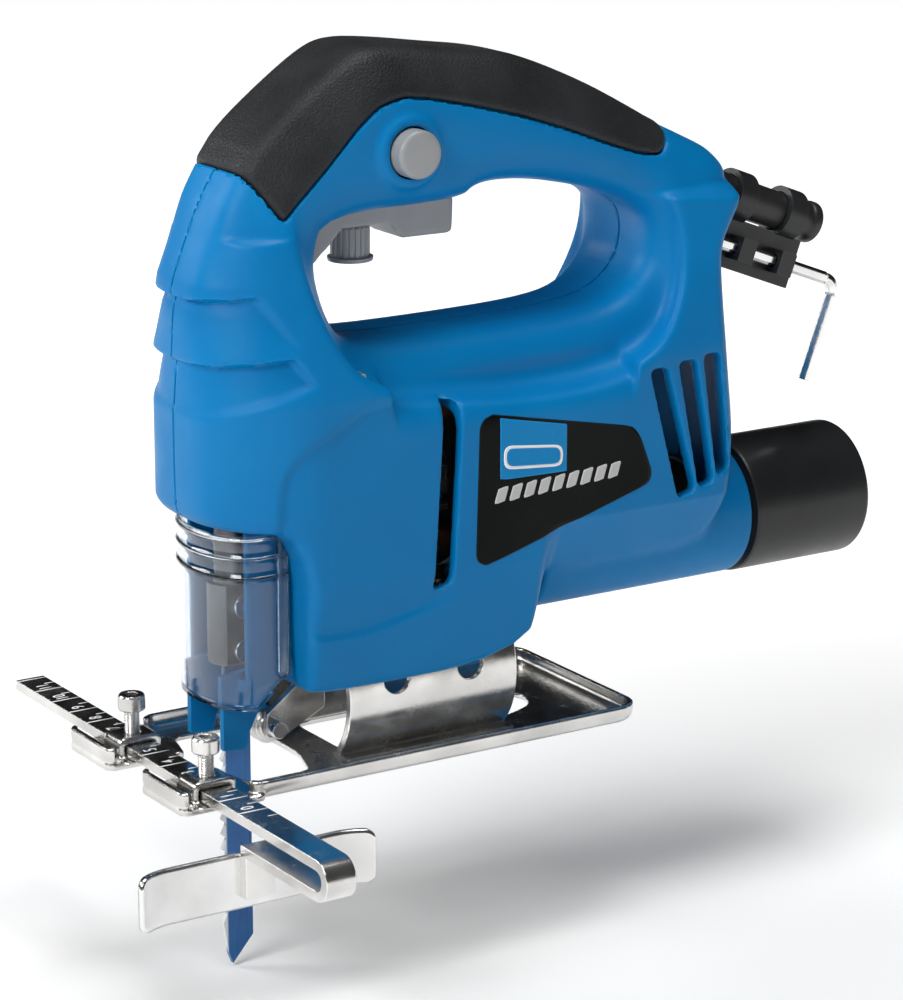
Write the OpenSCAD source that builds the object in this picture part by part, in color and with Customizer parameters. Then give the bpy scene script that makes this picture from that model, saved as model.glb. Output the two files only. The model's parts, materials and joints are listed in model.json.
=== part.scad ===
// Jigsaw power tool, built up as it comes apart on a bench.
// Origin: on the sole's bottom plane, in the middle of the blade.
// +X runs back to the dust port, -Y is the side of the lock button, +Z is up.

/* [Sole] */
// Front of the sole's side rims, measured forward from the blade
sole_front = 12; // [10:1:16]
// Rear edge of the sole, measured back from the blade
sole_rear = 105; // [98:1:125]
// Half of the sole's width
sole_half = 31; // [29:0.5:36]
// Thickness of the sole's steel
plate_t = 1.6; // [1.2:0.1:1.8]
// Height of the turned-up rims
rim_h = 5; // [4:0.5:7]
// Radius of the sole's rear corners
corner_r = 7; // [4:0.5:10]
// Width of each of the two front tongues
tongue_w = 23; // [20:0.5:24]
// Reach of the front tongues ahead of the blade
tongue_reach = 32; // [31:0.5:38]

/* [Bevel] */
// Height of the bevel axis above the sole's bottom
bevel_z = 17; // [16:0.5:18]
// Outer radius of the bevel arch
arch_r = 22; // [20:0.5:23]
// Thickness of the bevel arch
arch_t = 1.8; // [1.4:0.1:2.2]
// Front end of the bevel arch
arch_x0 = 21; // [20:1:24]
// Rear end of the bevel arch
arch_x1 = 71; // [66:1:74]
// Width of the two slots in the bevel arch
slot_w = 8; // [7:0.5:9]

/* [Guide] */
// Width of the guide bar
bar_w = 8; // [7:0.5:9]
// Thickness of the guide bar
bar_t = 2.6; // [2:0.1:3]
// Distance of the guide bar's middle ahead of the blade
bar_x = 21; // [20:0.5:23]
// Far end of the guide bar
bar_far = 75; // [60:1:90]
// Outer end of the guide bar's hairpin
bar_near = 88; // [84:1:100]
// Distance of the fence from the blade
fence_y = 47; // [45:1:52]
// Length of the fence
fence_len = 66; // [60:1:90]
// Height of the fence
fence_h = 14; // [12:0.5:20]

/* [Housing] */
// Half of the body's width
body_half = 30; // [28.5:0.5:34]
// Half of the handle's width
handle_half = 19; // [18:0.5:22]
// Wall thickness of the two shells
wall = 2.5; // [2:0.1:3]
// Height of the handle's top above the sole
handle_top = 182; // [180:0.5:186]
// Radius of the dust tube
tube_r = 18; // [17.5:0.5:20]
// Height of the dust tube's middle
tube_z = 45; // [44:0.5:47]
// Rear end of the dust tube
tube_end = 150; // [146:1:162]
// Length of the collar behind the dust tube
collar_len = 39; // [28:1:50]
// Radius of the lock button
button_r = 6.2; // [5:0.1:7]

/* [Drive] */
// Height of the motor's shaft
motor_z = 69.5; // [68:0.5:71]
// Outer radius of the motor's field core
field_r = 26; // [24:0.5:26.5]
// Module of the gear teeth
tooth_module = 0.8; // [0.7:0.01:0.82]
// Teeth of the pinion
pinion_teeth = 10; // [10:1:11]
// Teeth of the drive gear
gear_teeth = 60; // [56:2:60]
// Throw of the crank pin, half of the stroke
crank_throw = 9; // [7:0.5:10]
// Radius of the plunger
plunger_r = 4.5; // [4:0.1:5]
// Length of the blade
blade_len = 100; // [90:1:110]
// Width of the blade
blade_w = 8; // [7:0.5:9]
// Thickness of the blade
blade_t = 1.3; // [1:0.1:1.6]
// Height of the blade's top end
blade_top = 45; // [43:0.5:47]
// Radius of the roller behind the blade
roller_r = 5; // [4.5:0.1:5.5]
// Outer width across the clear cover
cover_w = 36; // [35.6:0.1:37]

/* [Cable end] */
// Radius of the rubber sleeve
sleeve_r = 5.4; // [5:0.1:6]
// Radius of the bore for the cable
cable_r = 3.5; // [3:0.1:3.8]
// Length of the sleeve outside the handle
sleeve_len = 40; // [30:1:50]
// Slope of the sleeve and the key, downwards to the rear
sleeve_tilt = 21; // [15:1:25]
// Hex key's size across flats
key_af = 3; // [2.5:0.1:3.2]

/* [Hidden] */

// clearances
run = 0.06;
gap = 0.3;

// sole
tongue_near = -sole_half;
tongue_far = sole_half - tongue_w;
strap_in = 8;
strap_w = 9;
strap_t = 1.8;
bar_z = plate_t + gap + 0.2;
bar_top = bar_z + bar_t;
strap_top = bar_top + gap + strap_t;
screw_r = 2;
lip_h = 6;
lip_t = 1.6;

// fence and hairpin
hairpin_h = 10.4;
fence_top = -5.4;
fence_t = 1.6;
rivet_r = 1.8;

// housing
grip_t = 1.6;
grip_seat = 1.2;
nose_front = 18;
nose_bottom = 64;
front_wall = 6.4;
body_bottom = 19.6;
rear_bottom = 40.5;
rear_end = 143;
rear_curve = 54.5;
chamfer_top = 58;
chamfer_x0 = 78;
skirt_half = 23;
skirt_top = 46;
saddle_r = arch_r + gap;
lean_from = 97;
ridge_z = 108;
shoulder_slope = 0.42;
shoulder_x0 = 26;
shoulder_x1 = 116;
duct_top = 42.4;
trigger_half = 8;
button_x = 41;
button_z = 155;
button_out = handle_half + 5.5;
screw_spots = [[9.5, 134.5], [26, 84], [34, 46], [62, 99.4], [75, 40], [98, 98], [127, 104]];
boss_r = 3.4;

// drive
pinion_r = tooth_module * pinion_teeth / 2;
gear_r = tooth_module * gear_teeth / 2;
gear_z = motor_z + pinion_r + gear_r;
gear_x = 10;
gear_w = 7;
shaft_r = 3;
bearing_r = 9.5;
bearing_w = 6;
plate_x = 21;
plate_w = 9;
fan_x = 39;
fan_w = 11;
field_x = 54;
field_w = 38;
comm_x = 98;
comm_w = 12;
comm_r = 9;
rear_x = 115;
yoke_t = 6;
yoke_h = 13;
slot_h = 6.6;
yoke_half = 17;
cheek_half = 15.4;
cover_t = 1.4;

// blade clamp
clamp_low = 27;
clamp_high = 38;
clamp_spots = [31, 42.5];

// bevel clamping
bevel_spots = [35, 57];
insert_r = 5;
pad_t = 1.6;
pad_top = bevel_z + sqrt(pow(arch_r - arch_t, 2) - 25) - 0.2;

// roller
roller_x = blade_w / 2 + roller_r + 0.25;
roller_z = 8;
roller_w = 4;
axle_r = 1.6;

// cable end
sleeve_x = 143;
sleeve_z = 134;
key_drop = 13;
key_y = -5.5;
key_start = 7;
key_long = 43;
key_short = 28;

// side view outlines drawn in X and Z, pushed out along Y from y0 to y1
module side(y0, y1) {
    translate([0, y1, 0]) rotate([90, 0, 0]) linear_extrude(y1 - y0) children();
}

// a cylinder along X from x0 to x1
module rod_x(x0, x1, r, z, y = 0) {
    translate([x0, y, z]) rotate([0, 90, 0]) cylinder(h = x1 - x0, r = r, $fn = 64);
}

// a cylinder along Y from y0 to y1
module rod_y(y0, y1, r, x, z) {
    translate([x, y0, z]) rotate([-90, 0, 0]) cylinder(h = y1 - y0, r = r, $fn = 64);
}

// a cylinder along Z from z0 to z1
module rod_z(z0, z1, r, x, y) {
    translate([x, y, z0]) cylinder(h = z1 - z0, r = r, $fn = 48);
}

// a box from corner a to corner b
module block(a, b) {
    translate(a) cube(b - a);
}

// an outline with its corners rounded
module rounded(r) {
    offset(r = r, $fn = 32) offset(delta = -r) children();
}

// ---- housing -------------------------------------------------------------

// side view of nose, body and rear wall
module body_outline() {
    rounded(4) polygon([[-nose_front + 3, nose_bottom], [front_wall, nose_bottom], [front_wall, 26], [13, body_bottom],
        [74, body_bottom], [82, rear_bottom], [138, rear_bottom],
        [142, 55], [rear_end, 73], [140.5, 92], [139, 114], [122, 112], [100, 107], [30, 107],
        [22.5, 116], [19, 124], [14, 150], [1, 157], [-9, 146], [-15, 128], [-nose_front, 104],
        [-nose_front, 70]]);
}

// side view of the handle, solid down to the body
module handle_outline() {
    rounded(5) polygon([[-2, 156], [14, handle_top - 10.5], [32, handle_top], [60, handle_top - 3],
        [84, handle_top - 8], [104, handle_top - 17], [124, handle_top - 28], [138, 146],
        [144, 139], [142, 128], [138.5, 122], [138.5, 96], [116, 96], [117, 130], [104, 135], [80, 142],
        [64, 142.5], [60, 140], [18, 140], [16, 128], [19, 112], [28, 100], [0, 100], [-8, 140]]);
}

// plan view of nose and body
module plan_outline(half) {
    intersection() {
        union() {
            translate([6, 0]) scale([1, half / (nose_front + 6)]) circle(r = nose_front + 6, $fn = 96);
            translate([6, -half]) square([100, 2 * half]);
            intersection() {
                translate([rear_end - rear_curve, 0]) circle(r = rear_curve, $fn = 160);
                translate([100, -half]) square([100, 2 * half]);
            }
        }
        translate([-100, -half]) square([300, 2 * half]);
    }
}

// front view of nose and rear wall: upright to lean_from, then leaning in to the handle
module lean_outline() {
    polygon([[-body_half, -1], [-body_half, lean_from], [-handle_half - 1.5, 146], [-handle_half - 1.5, 200],
        [handle_half + 1.5, 200], [handle_half + 1.5, 146], [body_half, lean_from], [body_half, -1]]);
}

// front view of the space over the two shoulders that slope down from the ridge under the handle
module over_shoulders() {
    drop = shoulder_slope * (body_half + 5);
    polygon([[0, ridge_z], [body_half + 5, ridge_z - drop], [body_half + 5, 160],
        [-body_half - 5, 160], [-body_half - 5, ridge_z - drop]]);
}

// nose, body and rear wall, without the handle
module body_mass(inset = 0) {
    difference() {
        intersection() {
            side(-body_half + inset, body_half - inset) offset(delta = -inset) body_outline();
            translate([0, 0, -1]) linear_extrude(300) plan_outline(body_half - inset);
            translate([-60, 0, 0]) rotate([90, 0, 90]) linear_extrude(300) offset(delta = -inset) lean_outline();
        }
        translate([shoulder_x0 - inset, 0, 0]) rotate([90, 0, 90])
            linear_extrude(shoulder_x1 - shoulder_x0 + 2 * inset) offset(delta = inset) over_shoulders();
    }
}

// both shells in one, without the hollow inside; inset shrinks it for the hollow
module housing_form(inset) {
    body_mass(inset);
    side(-handle_half + inset, handle_half - inset) offset(delta = -inset) handle_outline();
}

// front view of the body: its side walls lean in towards the bottom
module skirt_outline() {
    polygon([[-100, 300], [-100, skirt_top + 30], [-body_half - 2, skirt_top + 8], [-skirt_half, body_bottom],
        [-skirt_half, 0], [skirt_half, 0], [skirt_half, body_bottom], [body_half + 2, skirt_top + 8],
        [100, skirt_top + 30], [100, 300]]);
}

// the shells' form with its leaning lower walls
module skirted_form(inset) {
    difference() {
        intersection() {
            housing_form(inset);
            translate([-50, 0, 0]) rotate([90, 0, 90]) linear_extrude(300) offset(delta = -inset) skirt_outline();
        }
        for (s = [-1, 1]) translate([chamfer_x0 - inset, 0, 0]) rotate([90, 0, 90])
            linear_extrude(100) offset(delta = inset) rear_chamfer(s);
    }
}

// front view of what the rear body lacks on one side, below its slanting lower wall
module rear_chamfer(s) {
    polygon([[s * (body_half + 3.2), chamfer_top + 5], [s * 16, 36], [s * 16, 0], [s * 60, 0], [s * 60, chamfer_top + 5]]);
}

// dust duct from behind the bevel arch to the tube, low enough to pass under the motor
module dust_duct(inset) {
    intersection() {
        rod_x(84, rear_x + bearing_w + 8, tube_r - inset, tube_z);
        block([80, -40, 0], [tube_end, 40, duct_top - inset]);
    }
    rod_x(rear_x + bearing_w + 4 + inset, tube_end + (inset > 0 ? 10 : 0), tube_r - inset, tube_z);
    if (inset > 0) rod_x(78, 90, tube_r - inset - 2, tube_z - 12);
}

// cheeks that reach down on both sides of the plunger
module cheeks() {
    for (s = [-1, 1]) {
        side(min(s * cheek_half, s * (cheek_half - 2)), max(s * cheek_half, s * (cheek_half - 2)))
            polygon([[-4.6, nose_bottom + 1], [8.5, nose_bottom + 1], [8.5, 25], [1, 24], [-4.6, 22]]);
    }
}

// vertical louvres in one side wall
module side_vents(s) {
    y = s * (body_half - 1.5);
    translate([0, y, 0]) side(-3, 3) {
        rounded(1.4) polygon([[44.5, 93], [49.5, 92], [46.5, 47], [41.5, 46]]);
        rounded(1.2) polygon([[107, 93], [112, 93], [121, 60], [117, 59]]);
        rounded(1.2) polygon([[116, 94], [120.5, 94], [127, 62], [123, 61]]);
        rounded(1.2) polygon([[124, 95], [128.5, 95], [132.5, 65], [129, 64]]);
    }
}

// everything cut out of the two shells
module housing_cuts() {
    difference() {
        skirted_form(wall);
        rod_x(0, arch_x1 + gap + wall, saddle_r + wall, bevel_z);
        dust_duct(0);
        block([rear_x - 2, -40, motor_z - 13], [rear_x + bearing_w + 2, 40, motor_z + 13]);
        for (p = screw_spots) rod_y(-40, 40, boss_r, p[0], p[1]);
    }
    rod_x(arch_x0 - gap, arch_x1 + gap, saddle_r, bevel_z);
    block([0, -7, 0], [arch_x0, 7, 21]);
    for (x = bevel_spots) rod_z(saddle_r, duct_top + 1, insert_r, x, 0);
    rod_x(rear_x, rear_x + bearing_w, bearing_r, motor_z);
    rod_x(rear_x - 10, rear_x + bearing_w + 3, shaft_r + 1.5, motor_z);
    for (s = [-1, 1]) side_vents(s);
    block([17, -trigger_half - gap, 120], [61.6, trigger_half + gap, 146]);
    rod_z(nose_bottom - 5, nose_bottom + 30, 7, 0, 0);
    dust_duct(wall);
    for (p = screw_spots) {
        rod_y(-handle_half + 6, 40, 1.6, p[0], p[1]);
        rod_y(handle_half - 6, 40, 3.1, p[0], p[1]);
    }
    rod_y(-40, -5, button_r + run, button_x, button_z);
    translate([sleeve_x, 0, sleeve_z]) rotate([0, sleeve_tilt, 0])
        rotate([0, 90, 0]) cylinder(h = 40, r = sleeve_r, center = true, $fn = 48);
}

// the handle's core under the grip
module grip_core() {
    side(-handle_half + grip_seat, handle_half - grip_seat) offset(delta = -grip_seat) handle_outline();
}

// the zone of the handle that the grip covers
module grip_form(inset) {
    side(-handle_half - inset, handle_half + inset) difference() {
        offset(delta = inset) handle_outline();
        polygon([[-40, 150], [-16, 159], [-2, 156], [4, 141], [29, 162], [38, 168], [60, 164.5],
            [75, 160.5], [92, 154], [108, 147.5], [122, 143.5], [127, 150], [125.5, 156.5], [160, 150],
            [160, 60], [-40, 60]]);
    }
}

module shell(sign) {
    color("dodgerblue") difference() {
        intersection() {
            union() {
                skirted_form(0);
                dust_duct(0);
                cheeks();
            }
            block([-60, sign < 0 ? -60 : 0, -10], [220, sign < 0 ? 0 : 60, 220]);
        }
        housing_cuts();
        difference() {
            grip_form(0.5);
            grip_core();
            body_mass();
        }
    }
}

module left_housing() { shell(-1); }

module right_housing() { shell(1); }

// soft cover over the handle's top
module soft_grip() {
    color("#1c1f22") difference() {
        grip_form(grip_t);
        grip_core();
        body_mass();
    }
}

// printed plate on the side wall
module label() {
    color("#101214") translate([0, -body_half, 0]) side(-0.5, 0)
        rounded(1.6) polygon([[56, 89], [102, 80], [107, 65], [103.5, 62.5], [56, 49], [53, 53], [54, 87]]);
}

// screws that join the two shells
module housing_screws() {
    color("silver") for (p = screw_spots) {
        difference() {
            union() {
                rod_y(handle_half - 6, handle_half - 3.6, 2.8, p[0], p[1]);
                rod_y(-6, handle_half - 6, 1.6, p[0], p[1]);
            }
            rod_y(handle_half - 4.8, handle_half - 3, 1, p[0], p[1]);
        }
    }
}

// ---- handle controls -----------------------------------------------------

module trigger() {
    dial_x = 35;
    color("lightgrey") difference() {
        side(-trigger_half, trigger_half) polygon([[17.6, 127], [20, 127], [22, 129.5], [26, 131.2],
            [61, 131.2], [61, 141], [58, 141], [58, 146.5], [30, 146.5], [30, 141], [17.6, 139]]);
        rod_z(120, 135.4, 6.7, dial_x, 0);
        rod_z(120, 141, 1.6 + run, dial_x, 0);
    }
}

// knurled wheel under the trigger
module speed_dial() {
    dial_x = 35;
    ribs = 18;
    color("silver") {
        rod_z(129, 140, 1.6, dial_x, 0);
        rod_z(125.6, 126.8, 6, dial_x, 0);
        translate([dial_x, 0, 126.8]) difference() {
            cylinder(h = 7.8, r = 5, $fn = 64);
            for (i = [0 : ribs - 1]) {
                rotate([0, 0, i * 360 / ribs]) translate([5.2, 0, -1]) cylinder(h = 10, r = 0.5, $fn = 16);
            }
        }
    }
}

module lock_button() {
    color("grey") {
        rod_y(-button_out, -handle_half + 6, button_r, button_x, button_z);
        rod_y(-handle_half + 6, -7, 2.5, button_x, button_z);
    }
}

module switch_body() {
    color("#222222") {
        block([30, -7, 160], [64, 7, 173]);
        rod_z(152, 160, 3, 54, 0);
    }
}

module speed_module() {
    color("darkgreen") block([72, -9, 150], [92, 9, 162]);
}

module cable_clamp() {
    color("#333333") difference() {
        block([122, -10, 128], [128, 10, 148]);
        translate([sleeve_x, 0, sleeve_z]) rotate([0, sleeve_tilt, 0])
            rotate([0, 90, 0]) cylinder(h = 90, r = sleeve_r + 0.1, center = true, $fn = 48);
    }
}

// ---- cable end -----------------------------------------------------------

module along_sleeve() {
    translate([sleeve_x, 0, sleeve_z]) rotate([0, sleeve_tilt, 0]) children();
}

module strain_relief() {
    color("#1a1a1a") along_sleeve() difference() {
        rotate([0, 90, 0]) union() {
            translate([0, 0, -12]) cylinder(h = sleeve_len + 12, r = sleeve_r, $fn = 64);
            translate([0, 0, sleeve_len - 2.5]) cylinder(h = 2.5, r = sleeve_r + 0.8, $fn = 64);
        }
        rotate([0, 90, 0]) translate([0, 0, -40]) cylinder(h = 120, r = cable_r, $fn = 64);
    }
}

// clip-on plate with two fingers that grip the key
module key_holder() {
    clip_r = key_af / 2 + 0.35;
    color("#202020") along_sleeve() difference() {
        union() {
            rotate([0, 90, 0]) translate([0, 0, 9]) cylinder(h = 6, r = sleeve_r + 1.6, $fn = 48);
            rotate([0, 90, 0]) translate([0, 0, 27]) cylinder(h = 6, r = sleeve_r + 1.6, $fn = 48);
            block([8.5, -3.4, -key_drop - 6], [36, -1, -sleeve_r - 0.2]);
            for (x = [13, 27]) block([x, key_y - clip_r - 1.4, -key_drop - 3.2], [x + 5, -1, -key_drop + 3.2]);
        }
        rotate([0, 90, 0]) translate([0, 0, -40]) cylinder(h = 120, r = sleeve_r + 0.05, $fn = 64);
        translate([-20, key_y, -key_drop]) rotate([0, 90, 0]) cylinder(h = 90, r = key_af / 1.7321 + 0.15, $fn = 32);
    }
}

module hex_key() {
    flat_r = key_af / 1.7321;
    bend = 4;
    color("silver") along_sleeve() translate([key_start, key_y, -key_drop]) {
        rotate([0, 90, 0]) cylinder(h = key_long - bend, r = flat_r, $fn = 6);
        translate([key_long - bend, 0, -bend]) rotate([90, 0, 0])
            rotate_extrude(angle = 90, $fn = 48) translate([bend, 0]) rotate(30) circle(r = flat_r, $fn = 6);
        translate([key_long, 0, -key_short]) cylinder(h = key_short - bend, r = flat_r, $fn = 6);
    }
}

// ---- dust port -----------------------------------------------------------

module dust_collar() {
    color("#17181a") difference() {
        union() {
            rod_x(tube_end + 1, tube_end + collar_len, tube_r + 0.3, tube_z);
            rod_x(tube_end - 14, tube_end + 2, tube_r - wall - run, tube_z);
        }
        rod_x(tube_end - 20, tube_end + collar_len + 5, tube_r - wall - run - 1.8, tube_z);
    }
}

// ---- motor ---------------------------------------------------------------

// simple gear wheel outline; a tooth points along +X
module gear_outline(teeth) {
    r = tooth_module * teeth / 2;
    pitch = 360 / teeth;
    root = r - 1.2 * tooth_module;
    tip = r + 0.8 * tooth_module;
    points = [for (i = [0 : teeth - 1], k = [[root, -0.30], [tip, -0.09], [tip, 0.09], [root, 0.30]])
        [k[0] * cos((i + k[1]) * pitch), k[0] * sin((i + k[1]) * pitch)]];
    polygon(points);
}

module along_motor(x) {
    translate([x, 0, motor_z]) rotate([0, 90, 0]) children();
}

module armature_shaft() {
    color("silver") {
        rod_x(gear_x + gear_w + 3, rear_x + bearing_w + 1, shaft_r, motor_z);
        rod_x(gear_x - 2, gear_x + gear_w + 3, 2, motor_z);
    }
}

module armature_core() {
    slots = 12;
    color("dimgrey") along_motor(field_x + 2) difference() {
        cylinder(h = field_w - 4, r = field_r * 0.55, $fn = 96);
        translate([0, 0, -1]) cylinder(h = field_w, r = shaft_r, $fn = 48);
        for (i = [0 : slots - 1]) {
            rotate([0, 0, i * 360 / slots]) translate([field_r * 0.55 - 3, -1, -1]) cube([5, 2, field_w]);
        }
    }
}

module commutator() {
    bars = 24;
    color("peru") along_motor(comm_x) difference() {
        cylinder(h = comm_w, r = comm_r, $fn = 96);
        translate([0, 0, -1]) cylinder(h = comm_w + 2, r = shaft_r, $fn = 48);
        for (i = [0 : bars - 1]) {
            rotate([0, 0, i * 360 / bars]) translate([comm_r - 1, -0.2, -1]) cube([2, 0.4, comm_w + 2]);
        }
    }
}

module fan() {
    blades = 14;
    color("black") along_motor(fan_x) difference() {
        union() {
            cylinder(h = 2, r = 23, $fn = 96);
            cylinder(h = fan_w, r = 7, $fn = 48);
            for (i = [0 : blades - 1]) {
                rotate([0, 0, i * 360 / blades]) translate([8, -0.7, 1]) cube([14.5, 1.4, fan_w - 1]);
            }
            for (i = [0 : blades - 1]) {
                rotate([0, 0, i * 360 / blades]) translate([6, -0.7, 1]) cube([3, 1.4, 4]);
            }
        }
        translate([0, 0, -1]) cylinder(h = fan_w + 2, r = shaft_r, $fn = 48);
    }
}

module pinion() {
    color("gainsboro") along_motor(gear_x - 1) difference() {
        rotate(180) linear_extrude(gear_w + 2) gear_outline(pinion_teeth);
        translate([0, 0, -1]) cylinder(h = gear_w + 4, r = 2, $fn = 48);
    }
}

// ball bearing drawn as one ring that turns in neither race
module bearing(x, z) {
    difference() {
        rod_x(x, x + bearing_w, bearing_r, z);
        rod_x(x - 1, x + bearing_w + 1, shaft_r + run, z);
        difference() {
            rod_x(x - 1, x + 0.8, 7.6, z);
            rod_x(x - 2, x + 2, 5, z);
        }
        difference() {
            rod_x(x + bearing_w - 0.8, x + bearing_w + 1, 7.6, z);
            rod_x(x + bearing_w - 2, x + bearing_w + 2, 5, z);
        }
    }
}

module front_bearing() { color("lightsteelblue") bearing(plate_x + plate_w - bearing_w, motor_z); }

module rear_bearing() { color("lightsteelblue") bearing(rear_x, motor_z); }

module field_core() {
    color("slategrey") difference() {
        rod_x(field_x, field_x + field_w, field_r, motor_z);
        rod_x(field_x - 1, field_x + field_w + 1, field_r * 0.55 + 0.8, motor_z);
        for (s = [-1, 1]) {
            block([field_x - 1, -11, motor_z + s * 17.5 - 3.2], [field_x + field_w + 1, 11, motor_z + s * 17.5 + 3.2]);
        }
    }
}

module field_coils() {
    color("chocolate") for (s = [-1, 1]) {
        block([field_x - 3, -10.4, motor_z + s * 17.5 - 2.6],
            [field_x + field_w + 3, 10.4, motor_z + s * 17.5 + 2.6]);
    }
}

module brush_holders() {
    color("goldenrod") for (s = [-1, 1]) {
        difference() {
            block([comm_x + 2, s > 0 ? comm_r + 1 : -26.5, motor_z - 4.4],
                [comm_x + 10, s > 0 ? 26.5 : -comm_r - 1, motor_z + 4.4]);
            block([comm_x + 3.2, s > 0 ? comm_r : -25, motor_z - 3.2],
                [comm_x + 8.8, s > 0 ? 25 : -comm_r, motor_z + 3.2]);
        }
    }
}

module carbon_brushes() {
    color("#303030") for (s = [-1, 1]) {
        block([comm_x + 3.4, s > 0 ? comm_r + 0.3 : -comm_r - 13, motor_z - 3],
            [comm_x + 8.6, s > 0 ? comm_r + 13 : -comm_r - 0.3, motor_z + 3]);
    }
}

// ---- gearbox -------------------------------------------------------------

// cast plate between the gear and the fan, shaped to the inside of the shells
module gear_plate() {
    color("silver") difference() {
        intersection() {
            side(-body_half + wall, body_half - wall) rounded(1.5)
                polygon([[plate_x, motor_z - 20], [plate_x + plate_w, motor_z - 20],
                    [plate_x + plate_w, 99], [plate_x + plate_w - 3, 103], [plate_x, 103]]);
            body_mass(wall);
        }
        block([0, -40, 0], [40, -20, motor_z - 8]);
        block([0, 20, 0], [40, 40, motor_z - 8]);
        rod_x(plate_x + plate_w - bearing_w, plate_x + plate_w + 1, bearing_r, motor_z);
        rod_x(plate_x - 5, plate_x + plate_w + 1, shaft_r + 1.5, motor_z);
        rod_x(plate_x - 5, plate_x + plate_w + 1, 3, gear_z);
        for (p = screw_spots) rod_y(-40, 40, boss_r + gap, p[0], p[1]);
    }
}

module gear_axle() {
    color("lightgrey") {
        rod_x(gear_x + 0.5, plate_x + 5, 3, gear_z);
    }
}

module drive_gear() {
    color("darkkhaki") difference() {
        translate([gear_x, 0, gear_z]) rotate([0, 90, 0]) rotate(180 / gear_teeth)
            linear_extrude(gear_w) gear_outline(gear_teeth);
        rod_x(gear_x - 1, gear_x + gear_w + 1, 3 + run, gear_z);
        rod_x(gear_x - 1, gear_x + gear_w + 1, 2, gear_z, crank_throw);
        for (a = [60, 120, 180, 240, 300]) {
            translate([gear_x - 1, 0, gear_z]) rotate([a, 0, 0]) translate([0, 14.5, 0]) rotate([0, 90, 0])
                cylinder(h = gear_w + 2, r = 4.5, $fn = 48);
        }
    }
}

// pin and its loose ring; its tip stops just behind the plunger
module crank_pin() {
    color("silver") {
        rod_x(gear_x - 0.2, gear_x + gear_w, 2, gear_z, crank_throw);
        rod_x(plunger_r + gap, gear_x - 0.2, 3, gear_z, crank_throw);
    }
}

module plunger() {
    color("silver") difference() {
        rod_z(clamp_high + 2, gear_z + 38, plunger_r, 0, 0);
        block([-10, -20, gear_z - yoke_h / 2], [10, 20, gear_z + yoke_h / 2]);
        tang_slot();
        rod_y(-20, -blade_t / 2 - 0.02, 2, 0, clamp_spots[1]);
    }
}

// slotted crosshead in the middle of the plunger
module yoke() {
    color("lightslategrey") difference() {
        block([-yoke_t / 2, -yoke_half, gear_z - yoke_h / 2], [yoke_t / 2, yoke_half, gear_z + yoke_h / 2]);
        block([-yoke_t, -crank_throw - slot_h / 2, gear_z - slot_h / 2],
            [yoke_t, crank_throw + slot_h / 2, gear_z + slot_h / 2]);
    }
}

module guide_bush(z0, z1) {
    difference() {
        rod_z(z0, z1, 7, 0, 0);
        rod_z(z0 - 1, z1 + 1, plunger_r + run, 0, 0);
    }
}

module lower_bush() { color("darkgoldenrod") guide_bush(nose_bottom + 0.2, nose_bottom + 12); }

module upper_bush() {
    color("darkgoldenrod") {
        guide_bush(gear_z + 26, gear_z + 32);
        difference() {
            block([4, -9, gear_z + 26], [12, 9, gear_z + 32]);
            rod_z(0, 200, 6.9, 0, 0);
        }
    }
}

// ---- blade ---------------------------------------------------------------

// slot that takes the blade's tang
module tang_slot() {
    half = blade_w / 2 - 0.4;
    block([-half, -blade_t / 2 - 0.02, 0], [half, blade_t / 2 + 0.02, blade_top + 0.4]);
}

module blade_clamp() {
    color("lightgrey") difference() {
        rod_z(clamp_low, clamp_high + 10, 6.4, 0, 0);
        tang_slot();
        for (s = [-1, 1]) translate([0, s * 14.6, 36]) cube([40, 20, 24], center = true);
        rod_z(clamp_high + 2, clamp_high + 20, plunger_r, 0, 0);
        for (z = clamp_spots) rod_y(-20, -blade_t / 2, 2, 0, z);
    }
}

module clamp_screws() {
    color("silver") for (z = clamp_spots) {
        difference() {
            union() {
                rod_y(-5, -blade_t / 2 - 0.1, 2, 0, z);
                rod_y(-7, -4.6, 3.2, 0, z);
            }
            translate([0, -7.5, z]) rotate([-90, 0, 0]) cylinder(h = 2.3, r = 1.5, $fn = 6);
        }
    }
}

module blade() {
    tip = blade_top - blade_len;
    teeth_top = 8;
    pitch = 4;
    count = floor((teeth_top - tip - 9) / pitch);
    front = -blade_w / 2 - 0.6;
    edge = [for (i = [0 : count - 1], k = [0, 1])
        [front + (k == 0 ? 1.4 : 0), teeth_top - i * pitch - (k == 0 ? 0.6 : 3.4)]];
    color("royalblue") side(-blade_t / 2, blade_t / 2)
        polygon(concat([[-blade_w / 2 + 0.8, blade_top], [-blade_w / 2 + 0.8, teeth_top + 3], [front + 1.4, teeth_top + 2]],
            edge,
            [[front + 1.4, tip + 3], [front + 2.6, tip], [blade_w / 2, tip + 7], [blade_w / 2, 22],
             [blade_w / 2 - 0.8, 24], [blade_w / 2 - 0.8, blade_top]]));
}

// clear guard around the plunger, open at the back and below
module dust_cover() {
    outer = cover_w / 2;
    color("lightblue", 0.4) difference() {
        translate([0, 0, 18]) linear_extrude(nose_bottom - 0.3 - 18) cover_plan(outer);
        translate([0, 0, 10]) linear_extrude(80) cover_plan(outer - cover_t);
        translate([0, 0, 0]) side(-30, 30) polygon([[-14, 10], [-3, 17.5], [6.8, 27], [10, 10]]);
        block([front_wall - gap, -30, 0], [20, 30, 90]);
    }
}

// plan view of the cover: a round front and straight sides
module cover_plan(half) {
    translate([-2, 0]) scale([(half - 7.5) / half, 1]) circle(r = half, $fn = 96);
    translate([-2, -half]) square([9, 2 * half]);
}

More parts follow.
